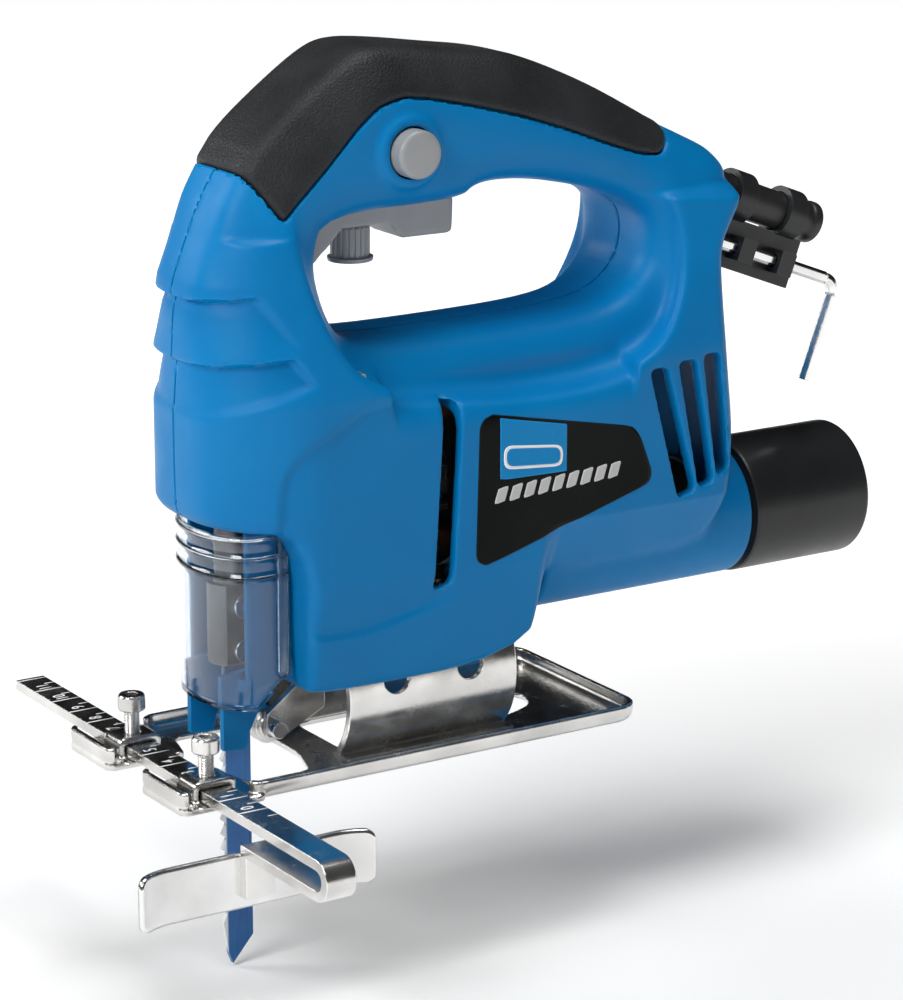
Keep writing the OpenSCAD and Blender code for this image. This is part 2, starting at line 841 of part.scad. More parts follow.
// two prongs that keep fingers off the blade
module blade_guard() {
    color("dodgerblue") {
        for (s = [-1, 1]) {
            y0 = s > 0 ? 7.6 : -9.4;
            side(y0, y0 + 1.8) polygon([[-8.5, 6.5], [-2, 6], [-1.2, 10], [2, 16], [6, 19], [6, 28], [-8.5, 26]]);
            block([-4, s > 0 ? 9.2 : -cheek_half + 2, 22.4], [4, s > 0 ? cheek_half - 2 : -9.2, 25]);
        }
    }
}

module roller_bracket() {
    color("silver") {
        for (s = [-1, 1]) {
            y0 = s > 0 ? roller_w / 2 + gap : -roller_w / 2 - gap - 1.8;
            difference() {
                side(y0, y0 + 1.8) rounded(1.2) polygon([[roller_x - 2.6, 5.4], [roller_x + 2.6, 5.2],
                    [24, 11], [24, 20], [18, 20], [roller_x - 2, 12]]);
                rod_y(-10, 10, axle_r, roller_x, roller_z);
            }
        }
        block([18, -roller_w / 2 - gap, 17], [24, roller_w / 2 + gap, 20]);
        block([22.4, -4, 19.9], [24, 4, pad_top - pad_t]);
        difference() {
            block([22.4, -5, pad_top - pad_t], [64, 5, pad_top]);
            for (x = bevel_spots) rod_z(0, 60, 3.2, x, 0);
        }
    }
}

// threaded inserts in the shells that take the bevel screws
module bevel_inserts() {
    color("darkgoldenrod") for (x = bevel_spots) {
        difference() {
            rod_z(bevel_z + saddle_r + 0.1, duct_top + 0.8, insert_r, x, 0);
            rod_z(0, 60, 3 + run, x, 0);
        }
    }
}

module roller_axle() {
    color("grey") {
        rod_y(-6.2, 4.6, axle_r - 0.05, roller_x, roller_z);
        rod_y(-7, -roller_w / 2 - gap - 1.8, 2.2, roller_x, roller_z);
    }
}

// wheel with a groove for the blade's back
module roller() {
    color("lightgrey") difference() {
        rod_y(-roller_w / 2, roller_w / 2, roller_r, roller_x, roller_z);
        rod_y(-10, 10, axle_r, roller_x, roller_z);
    }
}

// ---- sole ----------------------------------------------------------------

// plan view of the sole inside its rims
module sole_plan() {
    rear_len = sole_rear + sole_front;
    hull() {
        translate([-sole_front, -sole_half]) square([rear_len - corner_r, 2 * sole_half]);
        for (s = [-1, 1]) {
            translate([sole_rear - corner_r, s * (sole_half - corner_r)]) circle(r = corner_r, $fn = 64);
        }
    }
}

module sole_plate() {
    color("lightgrey") difference() {
        union() {
            linear_extrude(plate_t) sole_plan();
            linear_extrude(rim_h) difference() {
                sole_plan();
                offset(delta = -plate_t) sole_plan();
                translate([-sole_front - 1, -sole_half + plate_t]) square([10, 2 * (sole_half - plate_t)]);
            }
            for (y = [tongue_near, tongue_far]) {
                tongue(y);
            }
        }
        // opening for the blade
        translate([0, 0, -1]) linear_extrude(10) rounded(2)
            polygon([[-sole_front - 30, -6], [-sole_front + 1, -6], [-7, -20], [10, -20], [14, -8], [14, 8],
                [10, 20], [-7, 20], [-sole_front + 1, 6], [-sole_front - 30, 6]]);
        // opening under the arch
        translate([0, 0, -1]) linear_extrude(10) hull() {
            translate([25, -13]) square([1, 26]);
            translate([78, 0]) circle(r = 10, $fn = 64);
            translate([66, -13]) square([1, 26]);
        }
        for (y = [tongue_near, tongue_far]) rod_z(-1, 20, screw_r + run, -bar_x, y + strap_in);
    }
}

// one front tongue with its upturned lip and the strap over the guide bar
module tongue(y) {
    leg = bar_w / 2 + gap;
    block([-tongue_reach, y, 0], [-sole_front + 1, y + tongue_w, plate_t]);
    block([-tongue_reach, y, 0], [-tongue_reach + lip_t, y + tongue_w, lip_h]);
    translate([0, y + strap_in - strap_w / 2, 0]) {
        block([-bar_x - leg - strap_t, 0, 0], [-bar_x - leg, strap_w, strap_top]);
        block([-bar_x + leg, 0, 0], [-bar_x + leg + strap_t, strap_w, strap_top]);
        block([-bar_x - leg - strap_t, 0, strap_top - strap_t], [-bar_x + leg + strap_t, strap_w, strap_top]);
    }
}

// curved saddle that the body tilts on
module bevel_arch() {
    foot = sqrt(arch_r * arch_r - pow(bevel_z - plate_t, 2));
    color("silver") difference() {
        union() {
            difference() {
                rod_x(arch_x0, arch_x1, arch_r, bevel_z);
                rod_x(arch_x0 - 1, arch_x1 + 1, arch_r - arch_t, bevel_z);
                block([0, -40, -40], [120, 40, plate_t]);
            }
            for (s = [-1, 1]) {
                block([arch_x0, s > 0 ? foot - arch_t : -foot - 5, plate_t],
                    [arch_x1, s > 0 ? foot + 5 : -foot + arch_t, plate_t + 0.5]);
            }
        }
        for (x = bevel_spots) bevel_slot(x);
    }
}

// slot over the arch's top, round at both ends
module bevel_slot(x) {
    reach = 78;
    for (a = [-reach, reach]) {
        translate([x, 0, bevel_z]) rotate([a, 0, 0]) cylinder(h = 40, r = slot_w / 2, $fn = 48);
    }
    translate([x - slot_w / 2, 0, bevel_z]) rotate([90, 0, 90]) linear_extrude(slot_w)
        polygon([[0, 0], [-40 * sin(reach), 40 * cos(reach)], [-40, 40], [40, 40], [40 * sin(reach), 40 * cos(reach)]]);
}

module bevel_screw(x) {
    z1 = pad_top - pad_t - 0.1;
    color("silver") difference() {
        union() {
            rod_z(z1, duct_top + 0.6, 3, x, 0);
            rod_z(z1 - 5, z1, 5, x, 0);
        }
        translate([x, 0, z1 - 6]) cylinder(h = 4, r = 2.3, $fn = 6);
    }
}

module front_bevel_screw() { bevel_screw(bevel_spots[0]); }

module rear_bevel_screw() { bevel_screw(bevel_spots[1]); }

// ---- guide ---------------------------------------------------------------

module guide_bar() {
    x0 = -bar_x - bar_w / 2;
    x1 = -bar_x + bar_w / 2;
    r = hairpin_h / 2;
    bend_y = -bar_near + r;
    low = bar_top - hairpin_h;
    color("lightgrey") {
        block([x0, bend_y, bar_z], [x1, bar_far, bar_top]);
        translate([x0, bend_y, bar_top - r]) rotate([0, 90, 0]) intersection() {
            difference() {
                cylinder(h = bar_w, r = r, $fn = 64);
                translate([0, 0, -1]) cylinder(h = bar_w + 2, r = r - bar_t, $fn = 64);
            }
            translate([-20, -40, 0]) cube([40, 40, bar_w]);
        }
        block([x0, bend_y, low], [x1, -fence_y - bar_t, low + bar_t]);
        block([x0, -fence_y - bar_t, fence_top - 11], [x1, -fence_y, low + bar_t]);
    }
}

module fence_plate() {
    flare = 5;
    x0 = -bar_x - fence_len / 2;
    x1 = -bar_x + fence_len / 2;
    color("gainsboro") difference() {
        translate([0, 0, fence_top - fence_h]) linear_extrude(fence_h)
            polygon([[x0, -fence_y - 2], [x0 + flare, -fence_y], [x1 - flare, -fence_y], [x1, -fence_y - 2],
                [x1, -fence_y + fence_t - 2], [x1 - flare, -fence_y + fence_t], [x0 + flare, -fence_y + fence_t],
                [x0, -fence_y + fence_t - 2]]);
        rod_y(-60, -30, rivet_r, -bar_x, fence_top - 7);
    }
}

module fence_rivet() {
    color("silver") difference() {
        union() {
            rod_y(-fence_y, -fence_y + fence_t, rivet_r, -bar_x, fence_top - 7);
            rod_y(-fence_y + fence_t, -fence_y + fence_t + 1, rivet_r + 1, -bar_x, fence_top - 7);
        }
        rod_y(-fence_y + fence_t + 0.6, -fence_y + 4, 1, -bar_x, fence_top - 7);
    }
}

// socket-head screw that clamps the guide bar
module guide_screw(y) {
    z0 = bar_top + 0.15;
    head_z = z0 + 8;
    color("silver") difference() {
        union() {
            rod_z(z0, head_z, screw_r, -bar_x, y);
            rod_z(head_z, head_z + 4, 3.5, -bar_x, y);
        }
        translate([-bar_x, y, head_z + 1.8]) cylinder(h = 4, r = 1.75, $fn = 6);
    }
}

module near_guide_screw() { guide_screw(tongue_near + strap_in); }

module far_guide_screw() { guide_screw(tongue_far + strap_in); }

left_housing();
right_housing();
soft_grip();
label();
housing_screws();
trigger();
speed_dial();
lock_button();
switch_body();
speed_module();
cable_clamp();
strain_relief();
key_holder();
hex_key();
dust_collar();
armature_shaft();
armature_core();
commutator();
fan();
pinion();
front_bearing();
rear_bearing();
field_core();
field_coils();
brush_holders();
carbon_brushes();
gear_plate();
gear_axle();
drive_gear();
crank_pin();
plunger();
yoke();
lower_bush();
upper_bush();
blade_clamp();
clamp_screws();
blade();
dust_cover();
blade_guard();
roller_bracket();
bevel_inserts();
roller_axle();
roller();
sole_plate();
bevel_arch();
front_bevel_screw();
rear_bevel_screw();
guide_bar();
fence_plate();
fence_rivet();
near_guide_screw();
far_guide_screw();
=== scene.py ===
"""Jigsaw power tool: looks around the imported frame. The builders work in millimetres, as the CAD does."""
import json
import math

import bpy
import numpy as np
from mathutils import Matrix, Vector


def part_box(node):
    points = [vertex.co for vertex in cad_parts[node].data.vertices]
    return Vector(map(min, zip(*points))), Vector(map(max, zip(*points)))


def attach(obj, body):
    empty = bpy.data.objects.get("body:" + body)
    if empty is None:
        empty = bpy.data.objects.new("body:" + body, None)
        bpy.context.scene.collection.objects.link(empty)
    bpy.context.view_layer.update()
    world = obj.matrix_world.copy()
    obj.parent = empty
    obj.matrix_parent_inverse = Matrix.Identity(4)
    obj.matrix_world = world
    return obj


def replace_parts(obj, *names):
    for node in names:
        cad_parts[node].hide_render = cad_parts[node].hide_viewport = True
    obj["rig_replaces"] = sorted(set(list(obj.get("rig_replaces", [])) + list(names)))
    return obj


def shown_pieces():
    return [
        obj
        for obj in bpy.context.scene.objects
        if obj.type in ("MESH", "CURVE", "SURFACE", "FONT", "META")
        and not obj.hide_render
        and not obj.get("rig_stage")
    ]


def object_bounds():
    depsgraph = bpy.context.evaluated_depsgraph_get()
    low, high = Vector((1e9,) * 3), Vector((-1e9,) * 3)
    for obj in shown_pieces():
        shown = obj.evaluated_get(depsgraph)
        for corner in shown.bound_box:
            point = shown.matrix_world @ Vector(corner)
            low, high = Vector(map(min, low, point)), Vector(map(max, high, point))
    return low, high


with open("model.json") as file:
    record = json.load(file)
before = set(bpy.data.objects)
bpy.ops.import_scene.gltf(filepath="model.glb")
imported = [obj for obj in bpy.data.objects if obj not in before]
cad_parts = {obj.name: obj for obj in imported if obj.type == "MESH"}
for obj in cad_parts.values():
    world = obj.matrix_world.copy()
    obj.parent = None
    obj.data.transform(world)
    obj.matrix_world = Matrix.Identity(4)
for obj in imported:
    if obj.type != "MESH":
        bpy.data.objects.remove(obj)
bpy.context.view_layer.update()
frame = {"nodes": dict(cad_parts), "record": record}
NODES = frame["nodes"]
MM = 0.001


# ---- camera, light and floor ----------------------------------------------------------

def aim(thing, place, target):
    thing.location = place
    thing.rotation_euler = (Vector(target) - Vector(place)).to_track_quat("-Z", "Y").to_euler()


VIEW_AZIMUTH, VIEW_ELEVATION, VIEW_DISTANCE = math.radians(-32.45), math.radians(15.4), 0.933
VIEW_TARGET = (0.0557, -0.0147, 0.0636)
LENS, SENSOR = 132.1, 36
LIT_PLACE = (0.05, 0, 0.07)


def make_camera():
    """The photograph's viewing angle."""
    azimuth, elevation = VIEW_AZIMUTH, VIEW_ELEVATION
    target = Vector(VIEW_TARGET)
    back = Vector((math.sin(azimuth) * math.cos(elevation), -math.cos(azimuth) * math.cos(elevation),
                   math.sin(elevation)))
    data = bpy.data.cameras.new("camera")
    data.lens, data.sensor_width = LENS, SENSOR
    camera = bpy.data.objects.new("camera", data)
    bpy.context.scene.collection.objects.link(camera)
    aim(camera, target + back * VIEW_DISTANCE, target)
    bpy.context.scene.camera = camera


def area_light(name, place, size, power, colour=(1, 1, 1)):
    data = bpy.data.lights.new(name, "AREA")
    data.shape, data.size, data.size_y = "RECTANGLE", size[0], size[1]
    data.energy, data.color = power, colour
    light = bpy.data.objects.new(name, data)
    bpy.context.scene.collection.objects.link(light)
    aim(light, place, LIT_PLACE)


def make_lights():
    area_light("key_light", (-0.9, -0.35, 0.8), (0.5, 0.5), 9.0)
    area_light("top_light", (0.1, -0.1, 1.1), (0.6, 0.4), 7.0)
    area_light("back_light", (-0.75, 0.8, 0.6), (0.5, 0.4), 5.0)
    make_world()


BRIGHT_SIDE = (-0.58, -0.42, 0.70)
FLOOR_SIZE = 40
FLOOR_GAP = 0.001


def map_range(tree, source, start, end, low, high):
    """A node that maps start..end of source onto low..high."""
    made = tree.nodes.new("ShaderNodeMapRange")
    for socket, value in zip(("From Min", "From Max", "To Min", "To Max"), (start, end, low, high)):
        made.inputs[socket].default_value = value
    tree.links.new(source, made.inputs["Value"])
    return made.outputs["Result"]


def make_world():
    """A soft tent: bright above the lock button's side and the nose, dark behind, which shapes the metal."""
    world = bpy.data.worlds.new("studio")
    bpy.context.scene.world = world
    bpy.context.scene.view_settings.view_transform = "Standard"
    world.use_nodes = True
    tree = world.node_tree
    around = tree.nodes.new("ShaderNodeTexCoord").outputs["Generated"]
    lean = tree.nodes.new("ShaderNodeVectorMath")
    lean.operation = "DOT_PRODUCT"
    lean.inputs[1].default_value = BRIGHT_SIDE
    tree.links.new(around, lean.inputs[0])
    strength = map_range(tree, lean.outputs["Value"], -0.40, 0.9, 0.16, 2.0)
    tree.links.new(strength, tree.nodes["Background"].inputs["Strength"])


def make_floor():
    """A pale floor just below the blade's tip, glowing more and more away from the tool."""
    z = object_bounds()[0].z - FLOOR_GAP
    points = [(x * FLOOR_SIZE, y * FLOOR_SIZE, z) for x, y in ((-1, -1), (1, -1), (1, 1), (-1, 1))]
    data = bpy.data.meshes.new("floor")
    data.from_pydata(points, [], [(0, 1, 2, 3)])
    floor = bpy.data.objects.new("floor", data)
    bpy.context.scene.collection.objects.link(floor)
    floor_paint = bpy.data.materials.new("floor_paint")
    floor_paint.use_nodes = True
    shader = floor_paint.node_tree.nodes["Principled BSDF"]
    shader.inputs["Base Color"].default_value = (0.93, 0.93, 0.93, 1)
    shader.inputs["Roughness"].default_value = 0.8
    shader.inputs["Emission Color"].default_value = (1, 1, 1, 1)
    tree = floor_paint.node_tree
    away = tree.nodes.new("ShaderNodeVectorMath")
    away.operation = "LENGTH"
    tree.links.new(tree.nodes.new("ShaderNodeTexCoord").outputs["Object"], away.inputs[0])
    glow = map_range(tree, away.outputs["Value"], 0.15, 0.75, 0.10, 0.85)
    tree.links.new(glow, shader.inputs["Emission Strength"])
    data.materials.append(floor_paint)
    floor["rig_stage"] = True


# ---- materials ------------------------------------------------------------------------

class Paint:
    """A material and short ways to add nodes to it. Scales are in features per metre."""

    def __init__(self, name):
        self.material = bpy.data.materials.new(name)
        self.material.use_nodes = True
        self.tree = self.material.node_tree
        self.shader = self.tree.nodes["Principled BSDF"]
        self.place = self.tree.nodes.new("ShaderNodeTexCoord").outputs["Object"]

    def node(self, kind, **values):
        made = self.tree.nodes.new(kind)
        for key, value in values.items():
            setattr(made, key, value)
        return made

    def join(self, output, target):
        self.tree.links.new(output, target)

    def set(self, **values):
        for key, value in values.items():
            self.shader.inputs[key.replace("_", " ")].default_value = value
        return self

    def noise(self, scale, detail=3.0, stretch=None):
        made = self.node("ShaderNodeTexNoise")
        made.inputs["Scale"].default_value = scale
        made.inputs["Detail"].default_value = detail
        if stretch:
            mapping = self.node("ShaderNodeMapping")
            mapping.inputs["Scale"].default_value = stretch
            self.join(self.place, mapping.inputs["Vector"])
            self.join(mapping.outputs["Vector"], made.inputs["Vector"])
        else:
            self.join(self.place, made.inputs["Vector"])
        return made.outputs["Fac"]

    def cells(self, scale, feature="F1"):
        made = self.node("ShaderNodeTexVoronoi", feature=feature)
        made.inputs["Scale"].default_value = scale
        self.join(self.place, made.inputs["Vector"])
        return made.outputs["Distance"]

    def ramp(self, source, stops):
        made = self.node("ShaderNodeValToRGB")
        ramp = made.color_ramp
        for index, (at, colour) in enumerate(stops):
            stop = ramp.elements[index] if index < 2 else ramp.elements.new(at)
            stop.position = at
            stop.color = (*colour, 1) if isinstance(colour, tuple) else (colour, colour, colour, 1)
        self.join(source, made.inputs["Fac"])
        return made.outputs["Color"]

    def edges(self, width=0.0006):
        """Mask of the painted edge highlights, bright on convex edges, dark elsewhere: the bevelled normal
        against the true one.
        """
        bevel = self.node("ShaderNodeBevel", samples=4)
        bevel.inputs["Radius"].default_value = width
        geometry = self.node("ShaderNodeNewGeometry")
        dot = self.node("ShaderNodeVectorMath", operation="DOT_PRODUCT")
        self.join(bevel.outputs["Normal"], dot.inputs[0])
        self.join(geometry.outputs["Normal"], dot.inputs[1])
        return self.ramp(dot.outputs["Value"], [(0.90, 1.0), (0.995, 0.0)])

    def mix(self, fac, a, b):
        made = self.node("ShaderNodeMix", data_type="RGBA")
        self.join(fac, made.inputs[0])
        for socket, value in ((made.inputs[6], a), (made.inputs[7], b)):
            if isinstance(value, tuple):
                socket.default_value = (*value, 1)
            else:
                self.join(value, socket)
        return made.outputs[2]

    def colour(self, output):
        self.join(output, self.shader.inputs["Base Color"])
        return self

    def roughness(self, output):
        self.join(output, self.shader.inputs["Roughness"])
        return self

    def bump(self, *layers, soften=None):
        """Stacked bumps, each (height, strength, distance); soften is a rounding radius for sharp edges."""
        normal = None
        if soften:
            bevel = self.node("ShaderNodeBevel", samples=4)
            bevel.inputs["Radius"].default_value = soften
            normal = bevel.outputs["Normal"]
        for height, strength, distance in layers:
            made = self.node("ShaderNodeBump")
            made.inputs["Strength"].default_value = strength
            made.inputs["Distance"].default_value = distance
            self.join(height, made.inputs["Height"])
            if normal:
                self.join(normal, made.inputs["Normal"])
            normal = made.outputs["Normal"]
        self.join(normal, self.shader.inputs["Normal"])
        return self


def moulded(name, dark, light, rough, grain=2400, depth=0.00006, edge_highlight=None, gloss=0.5):
    """Moulded plastic: spark-eroded grain, slow colour drift and a painted highlight that makes the convex edges
    a little lighter.
    """
    p = Paint(name).set(Specular_IOR_Level=gloss)
    drift = p.ramp(p.noise(22, 4), [(0.35, dark), (0.65, light)])
    # painted highlight: convex edges are mixed towards a lighter colour
    p.colour(p.mix(p.edges(), drift, edge_highlight or tuple(c * 1.25 + 0.01 for c in light)))
    p.roughness(p.ramp(p.noise(120, 5), [(0.3, rough - 0.05), (0.7, rough + 0.07)]))
    return p.bump((p.noise(grain, 2), 0.35, depth), (p.noise(400, 3), 0.15, depth))


def leathery(name, dark, light):
    """Soft black over-moulding with a leather-like grain."""
    p = Paint(name).set(Specular_IOR_Level=0.25)
    drift = p.ramp(p.noise(60, 5), [(0.35, dark), (0.7, light)])
    # painted highlight: convex edges are mixed towards a lighter grey
    p.colour(p.mix(p.edges(0.0008), drift, (0.05, 0.052, 0.056)))
    p.roughness(p.ramp(p.cells(1700), [(0.0, 0.36), (0.6, 0.56)]))
    return p.bump((p.cells(1500), 0.55, 0.00022), (p.noise(3200, 2), 0.3, 0.0001))


def plated(name, dark, light, rough, grain=(1, 1, 1), scratch=900, soften=0.0005, blotch=0.05):
    """Plated steel: fine lay along grain, stains, and a painted highlight that lightens the convex edges."""
    p = Paint(name).set(Metallic=1.0)
    stain = p.ramp(p.noise(45, 6), [(0.3, dark), (0.7, light)])
    # painted highlight: convex edges are mixed towards a lighter colour
    p.colour(p.mix(p.edges(), stain, tuple(min(1, c * 1.15 + 0.05) for c in light)))
    p.roughness(p.ramp(p.noise(150, 6, grain), [(0.3, rough), (0.75, rough + 0.16)]))
    lay = (p.noise(scratch, 4, grain), 0.12, 0.00008)
    return p.bump(lay, (p.noise(60, 3), blotch, 0.0005), soften=soften)


def enamelled_blade():
    """Blue enamel with the teeth ground bare at the front edge."""
    p = Paint("blade_enamel").set(Specular_IOR_Level=0.5)
    enamel = p.ramp(p.noise(60, 4), [(0.35, (0.0, 0.085, 0.29)), (0.65, (0.0, 0.12, 0.37))])
    apart = p.node("ShaderNodeSeparateXYZ")
    p.join(p.place, apart.inputs[0])
    behind_teeth = map_range(p.tree, apart.outputs["X"], -0.0036, -0.0031, 0, 1)
    # painted highlight: the enamel's convex edges are mixed towards a lighter blue-grey
    body = p.mix(p.edges(0.0003), enamel, (0.3, 0.38, 0.46))
    p.colour(p.mix(behind_teeth, (0.72, 0.74, 0.76), body))
    p.roughness(p.ramp(p.noise(200, 5, (1, 1, 0.1)), [(0.3, 0.22), (0.75, 0.34)]))
    return p.bump((p.noise(1600, 3, (1, 1, 0.1)), 0.2, 0.00004))


def make_materials():
    paints = {}
    # the shell's lighter edge colour is a painted highlight on its convex edges
    paints["blue_shell"] = moulded("blue_plastic", (0.0, 0.155, 0.40), (0.0, 0.18, 0.445), 0.42,
                                   edge_highlight=(0.0, 0.24, 0.54), gloss=0.16)
    paints["black_grip"] = leathery("grip_rubber", (0.012, 0.0135, 0.015), (0.021, 0.023, 0.025))
    paints["black_plastic"] = moulded("black_nylon", (0.010, 0.011, 0.012), (0.02, 0.021, 0.022), 0.34,
                                      gloss=0.4)
    paints["black_rubber"] = moulded("cable_rubber", (0.008, 0.008, 0.009), (0.018, 0.018, 0.019), 0.4,
                                     grain=1500, depth=0.0001)
    paints["grey_plastic"] = moulded("grey_nylon", (0.23, 0.24, 0.25), (0.31, 0.32, 0.33), 0.42)
    paints["zinc_steel"] = plated("zinc_plate", (0.50, 0.49, 0.47), (0.80, 0.79, 0.77), 0.16)
    paints["bright_steel"] = plated("bright_steel", (0.62, 0.61, 0.60), (0.86, 0.86, 0.85), 0.12)
    paints["dark_steel"] = plated("lamination_steel", (0.10, 0.10, 0.11), (0.2, 0.2, 0.21), 0.4)
    paints["blade_paint"] = enamelled_blade()
    paints["cast_alloy"] = plated("cast_alloy", (0.45, 0.45, 0.46), (0.62, 0.62, 0.63), 0.38, scratch=1500)
    paints["brass"] = plated("brass", (0.52, 0.36, 0.12), (0.75, 0.55, 0.22), 0.22)
    paints["copper_winding"] = plated("copper_wire", (0.42, 0.16, 0.06), (0.72, 0.3, 0.12), 0.25,
                                      grain=(0.1, 1, 1), scratch=2600)
    paints["carbon"] = moulded("carbon_block", (0.015, 0.015, 0.016), (0.035, 0.035, 0.036), 0.55)
    paints["label_print"] = moulded("label_film", (0.002, 0.003, 0.003), (0.005, 0.006, 0.006), 0.3,
                                    grain=900, depth=0.00002, gloss=0.08)
    clear = Paint("clear_plastic").set(Transmission_Weight=1.0, IOR=1.46, Alpha=1.0)
    clear.colour(clear.ramp(clear.noise(30, 3), [(0.3, (0.88, 0.94, 0.98)), (0.7, (0.95, 0.98, 1.0))]))
    clear.roughness(clear.ramp(clear.noise(200, 5), [(0.35, 0.02), (0.8, 0.10)]))
    clear.bump((clear.noise(90, 3), 0.05, 0.0004))
    paints["clear_plastic"] = clear
    return {slot: paint.material for slot, paint in paints.items()}


# ---- meshes ---------------------------------------------------------------------------

def add_piece(name, points, faces, body, slot, replaces=(), sharp=35, material=None):
    """A new visible piece from points in millimetres."""
    data = bpy.data.meshes.new(name)
    data.from_pydata((np.asarray(points, float) * MM).tolist(), [], [list(f) for f in faces])
    data.validate()
    piece = bpy.data.objects.new(name, data)
    bpy.context.scene.collection.objects.link(piece)
    return dress(piece, body, slot, replaces, sharp, material)


def dress(piece, body, slot, replaces=(), sharp=35, material=None):
    """Smooth shading, a material, and the body and nodes that a piece belongs to."""
    data = piece.data
    data.materials.clear()
    data.materials.append(material or MATERIALS[slot])
    data.shade_smooth()
    data.set_sharp_from_angle(angle=math.radians(sharp))
    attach(piece, body)
    if replaces:
        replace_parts(piece, *replaces)
    return piece


def smooth_max(a, b, k):
    h = np.clip(0.5 + 0.5 * (a - b) / k, 0, 1)
    return b + (a - b) * h + k * h * (1 - h)


def smooth_min(a, b, k):
    return -smooth_max(-a, -b, k)


def smooth_step(t):
    t = np.clip(t, 0, 1)
    return t * t * (3 - 2 * t)


def soft_outline(points, rounds=3):
    """Cuts the corners of a closed outline again and again, which leaves a smooth curve."""
    p = np.array(points, float)
    for _ in range(rounds):
        after = np.roll(p, -1, axis=0)
        p = np.stack([p * 0.75 + after * 0.25, p * 0.25 + after * 0.75], 1).reshape(-1, 2)
    return p


def rounded_outline(points, radius, steps=4):
    """A closed outline with straight sides and its corners rounded."""
    corners = np.array(points, float)
    curve = []
    for before, here, after in zip(np.roll(corners, 1, axis=0), corners, np.roll(corners, -1, axis=0)):
        into, out = before - here, after - here
        a = here + into * min(radius / np.linalg.norm(into), 0.45)
        b = here + out * min(radius / np.linalg.norm(out), 0.45)
        for t in np.linspace(0, 1, steps + 1):
            curve.append(a * (1 - t) ** 2 + here * 2 * t * (1 - t) + b * t * t)
    return np.array(curve)


class Outline:
    """A closed outline in side view; its signed distance is looked up from a fine grid, negative inside."""
    STEP = 0.6
    LOW = np.array([-42.0, -26.0])
    HIGH = np.array([172.0, 202.0])

    def __init__(self, points, radius=None):
        axes = [np.arange(a, b + self.STEP, self.STEP) for a, b in zip(self.LOW, self.HIGH)]
        curve = soft_outline(points, 2) if radius is None else rounded_outline(points, radius)
        self.table = self.exact(curve, axes[0][:, None], axes[1][None, :])

    @staticmethod
    def exact(curve, x, z):
        x, z = np.broadcast_arrays(x, z)
        best = np.full(x.shape, 1e9)
        inside = np.zeros(x.shape, bool)
        for (ax, az), (bx, bz) in zip(curve, np.roll(curve, -1, axis=0)):
            ex, ez = bx - ax, bz - az
            t = np.clip(((x - ax) * ex + (z - az) * ez) / (ex * ex + ez * ez + 1e-12), 0, 1)
            best = np.minimum(best, (x - ax - t * ex) ** 2 + (z - az - t * ez) ** 2)
            if abs(ez) > 1e-9:
                inside ^= ((az > z) != (bz > z)) & (x < ax + (z - az) / ez * ex)
        return np.where(inside, -1, 1) * np.sqrt(best)

    def __call__(self, x, z):
        u = np.clip((x - self.LOW[0]) / self.STEP, 0, self.table.shape[0] - 1.001)
        v = np.clip((z - self.LOW[1]) / self.STEP, 0, self.table.shape[1] - 1.001)
        i, j = u.astype(int), v.astype(int)
        u, v = u - i, v - j
        near = self.table[i, j] * (1 - u) + self.table[i + 1, j] * u
        far = self.table[i, j + 1] * (1 - u) + self.table[i + 1, j + 1] * u
        return near * (1 - v) + far * v


def net_surface(field, low, high, step):
    """Mesh of the surface where field(x, y, z) is 0, by surface nets, drawn onto the true surface."""
    axes = [np.arange(a, b + step, step) for a, b in zip(low, high)]
    f = field(axes[0][:, None, None], axes[1][None, :, None], axes[2][None, None, :])
    f = np.broadcast_to(f, [len(a) for a in axes]).astype(np.float32)
    shape = np.array(f.shape) - 1
    total, count = np.zeros((*shape, 3), np.float32), np.zeros(shape, np.float32)
    corner = lambda c: f[tuple(slice(c[i], c[i] + shape[i]) for i in range(3))]
    for axis in range(3):
        for u in (0, 1):
            for v in (0, 1):
                a = [0, 0, 0]
                a[(axis + 1) % 3], a[(axis + 2) % 3] = u, v
                b = list(a)
                b[axis] = 1
                fa, fb = corner(a), corner(b)
                hit = (fa < 0) != (fb < 0)
                t = np.where(hit, fa / np.where(hit, fa - fb, 1), 0)
                for k in range(3):
                    total[..., k] += hit * (a[k] + (t if k == axis else 0))
                count += hit
    used = count > 0
    index = np.full(shape, -1, np.int64)
    index[used] = np.arange(used.sum())
    cell = np.argwhere(used)
    points = (cell + total[used] / count[used][:, None]) * step + np.array(low)
    faces = []
    for axis in range(3):
        u, v = (axis + 1) % 3, (axis + 2) % 3
        span = [slice(1, None)] * 3
        span[axis] = slice(0, shape[axis])
        inner = f[tuple(slice(0 if i == axis else 1, shape[i]) for i in range(3))]
        after = f[tuple(slice(1, shape[i] + 1) if i == axis else slice(1, shape[i]) for i in range(3))]
        for flip in (False, True):
            where = np.argwhere((inner >= 0) & (after < 0) if flip else (inner < 0) & (after >= 0))
            where = where + np.array([0 if i == axis else 1 for i in range(3)])
            du, dv = np.eye(3, dtype=int)[u], np.eye(3, dtype=int)[v]
            ring = [where - du - dv, where - dv, where, where - du]
            quads = np.stack([index[tuple(r.T)] for r in ring], 1)
            faces.append(quads[:, ::-1] if flip else quads)
    faces = np.concatenate(faces)
    for _ in range(3):
        points = points - pull(field, points)
    return points, faces[(faces >= 0).all(1)]


def pull(field, points, reach=0.05):
    """How far each point has to move to lie on the surface."""
    def at(shift):
        p = points + shift
        return field(p[:, 0], p[:, 1], p[:, 2])
    value = at(np.zeros(3))
    slope = np.stack([(at(way * reach) - at(-way * reach)) / (2 * reach) for way in np.eye(3)], 1)
    size = np.maximum((slope ** 2).sum(1), 0.2)
    return np.clip(slope * (value / size)[:, None], -0.35, 0.35)


# ---- housing --------------------------------------------------------------------------

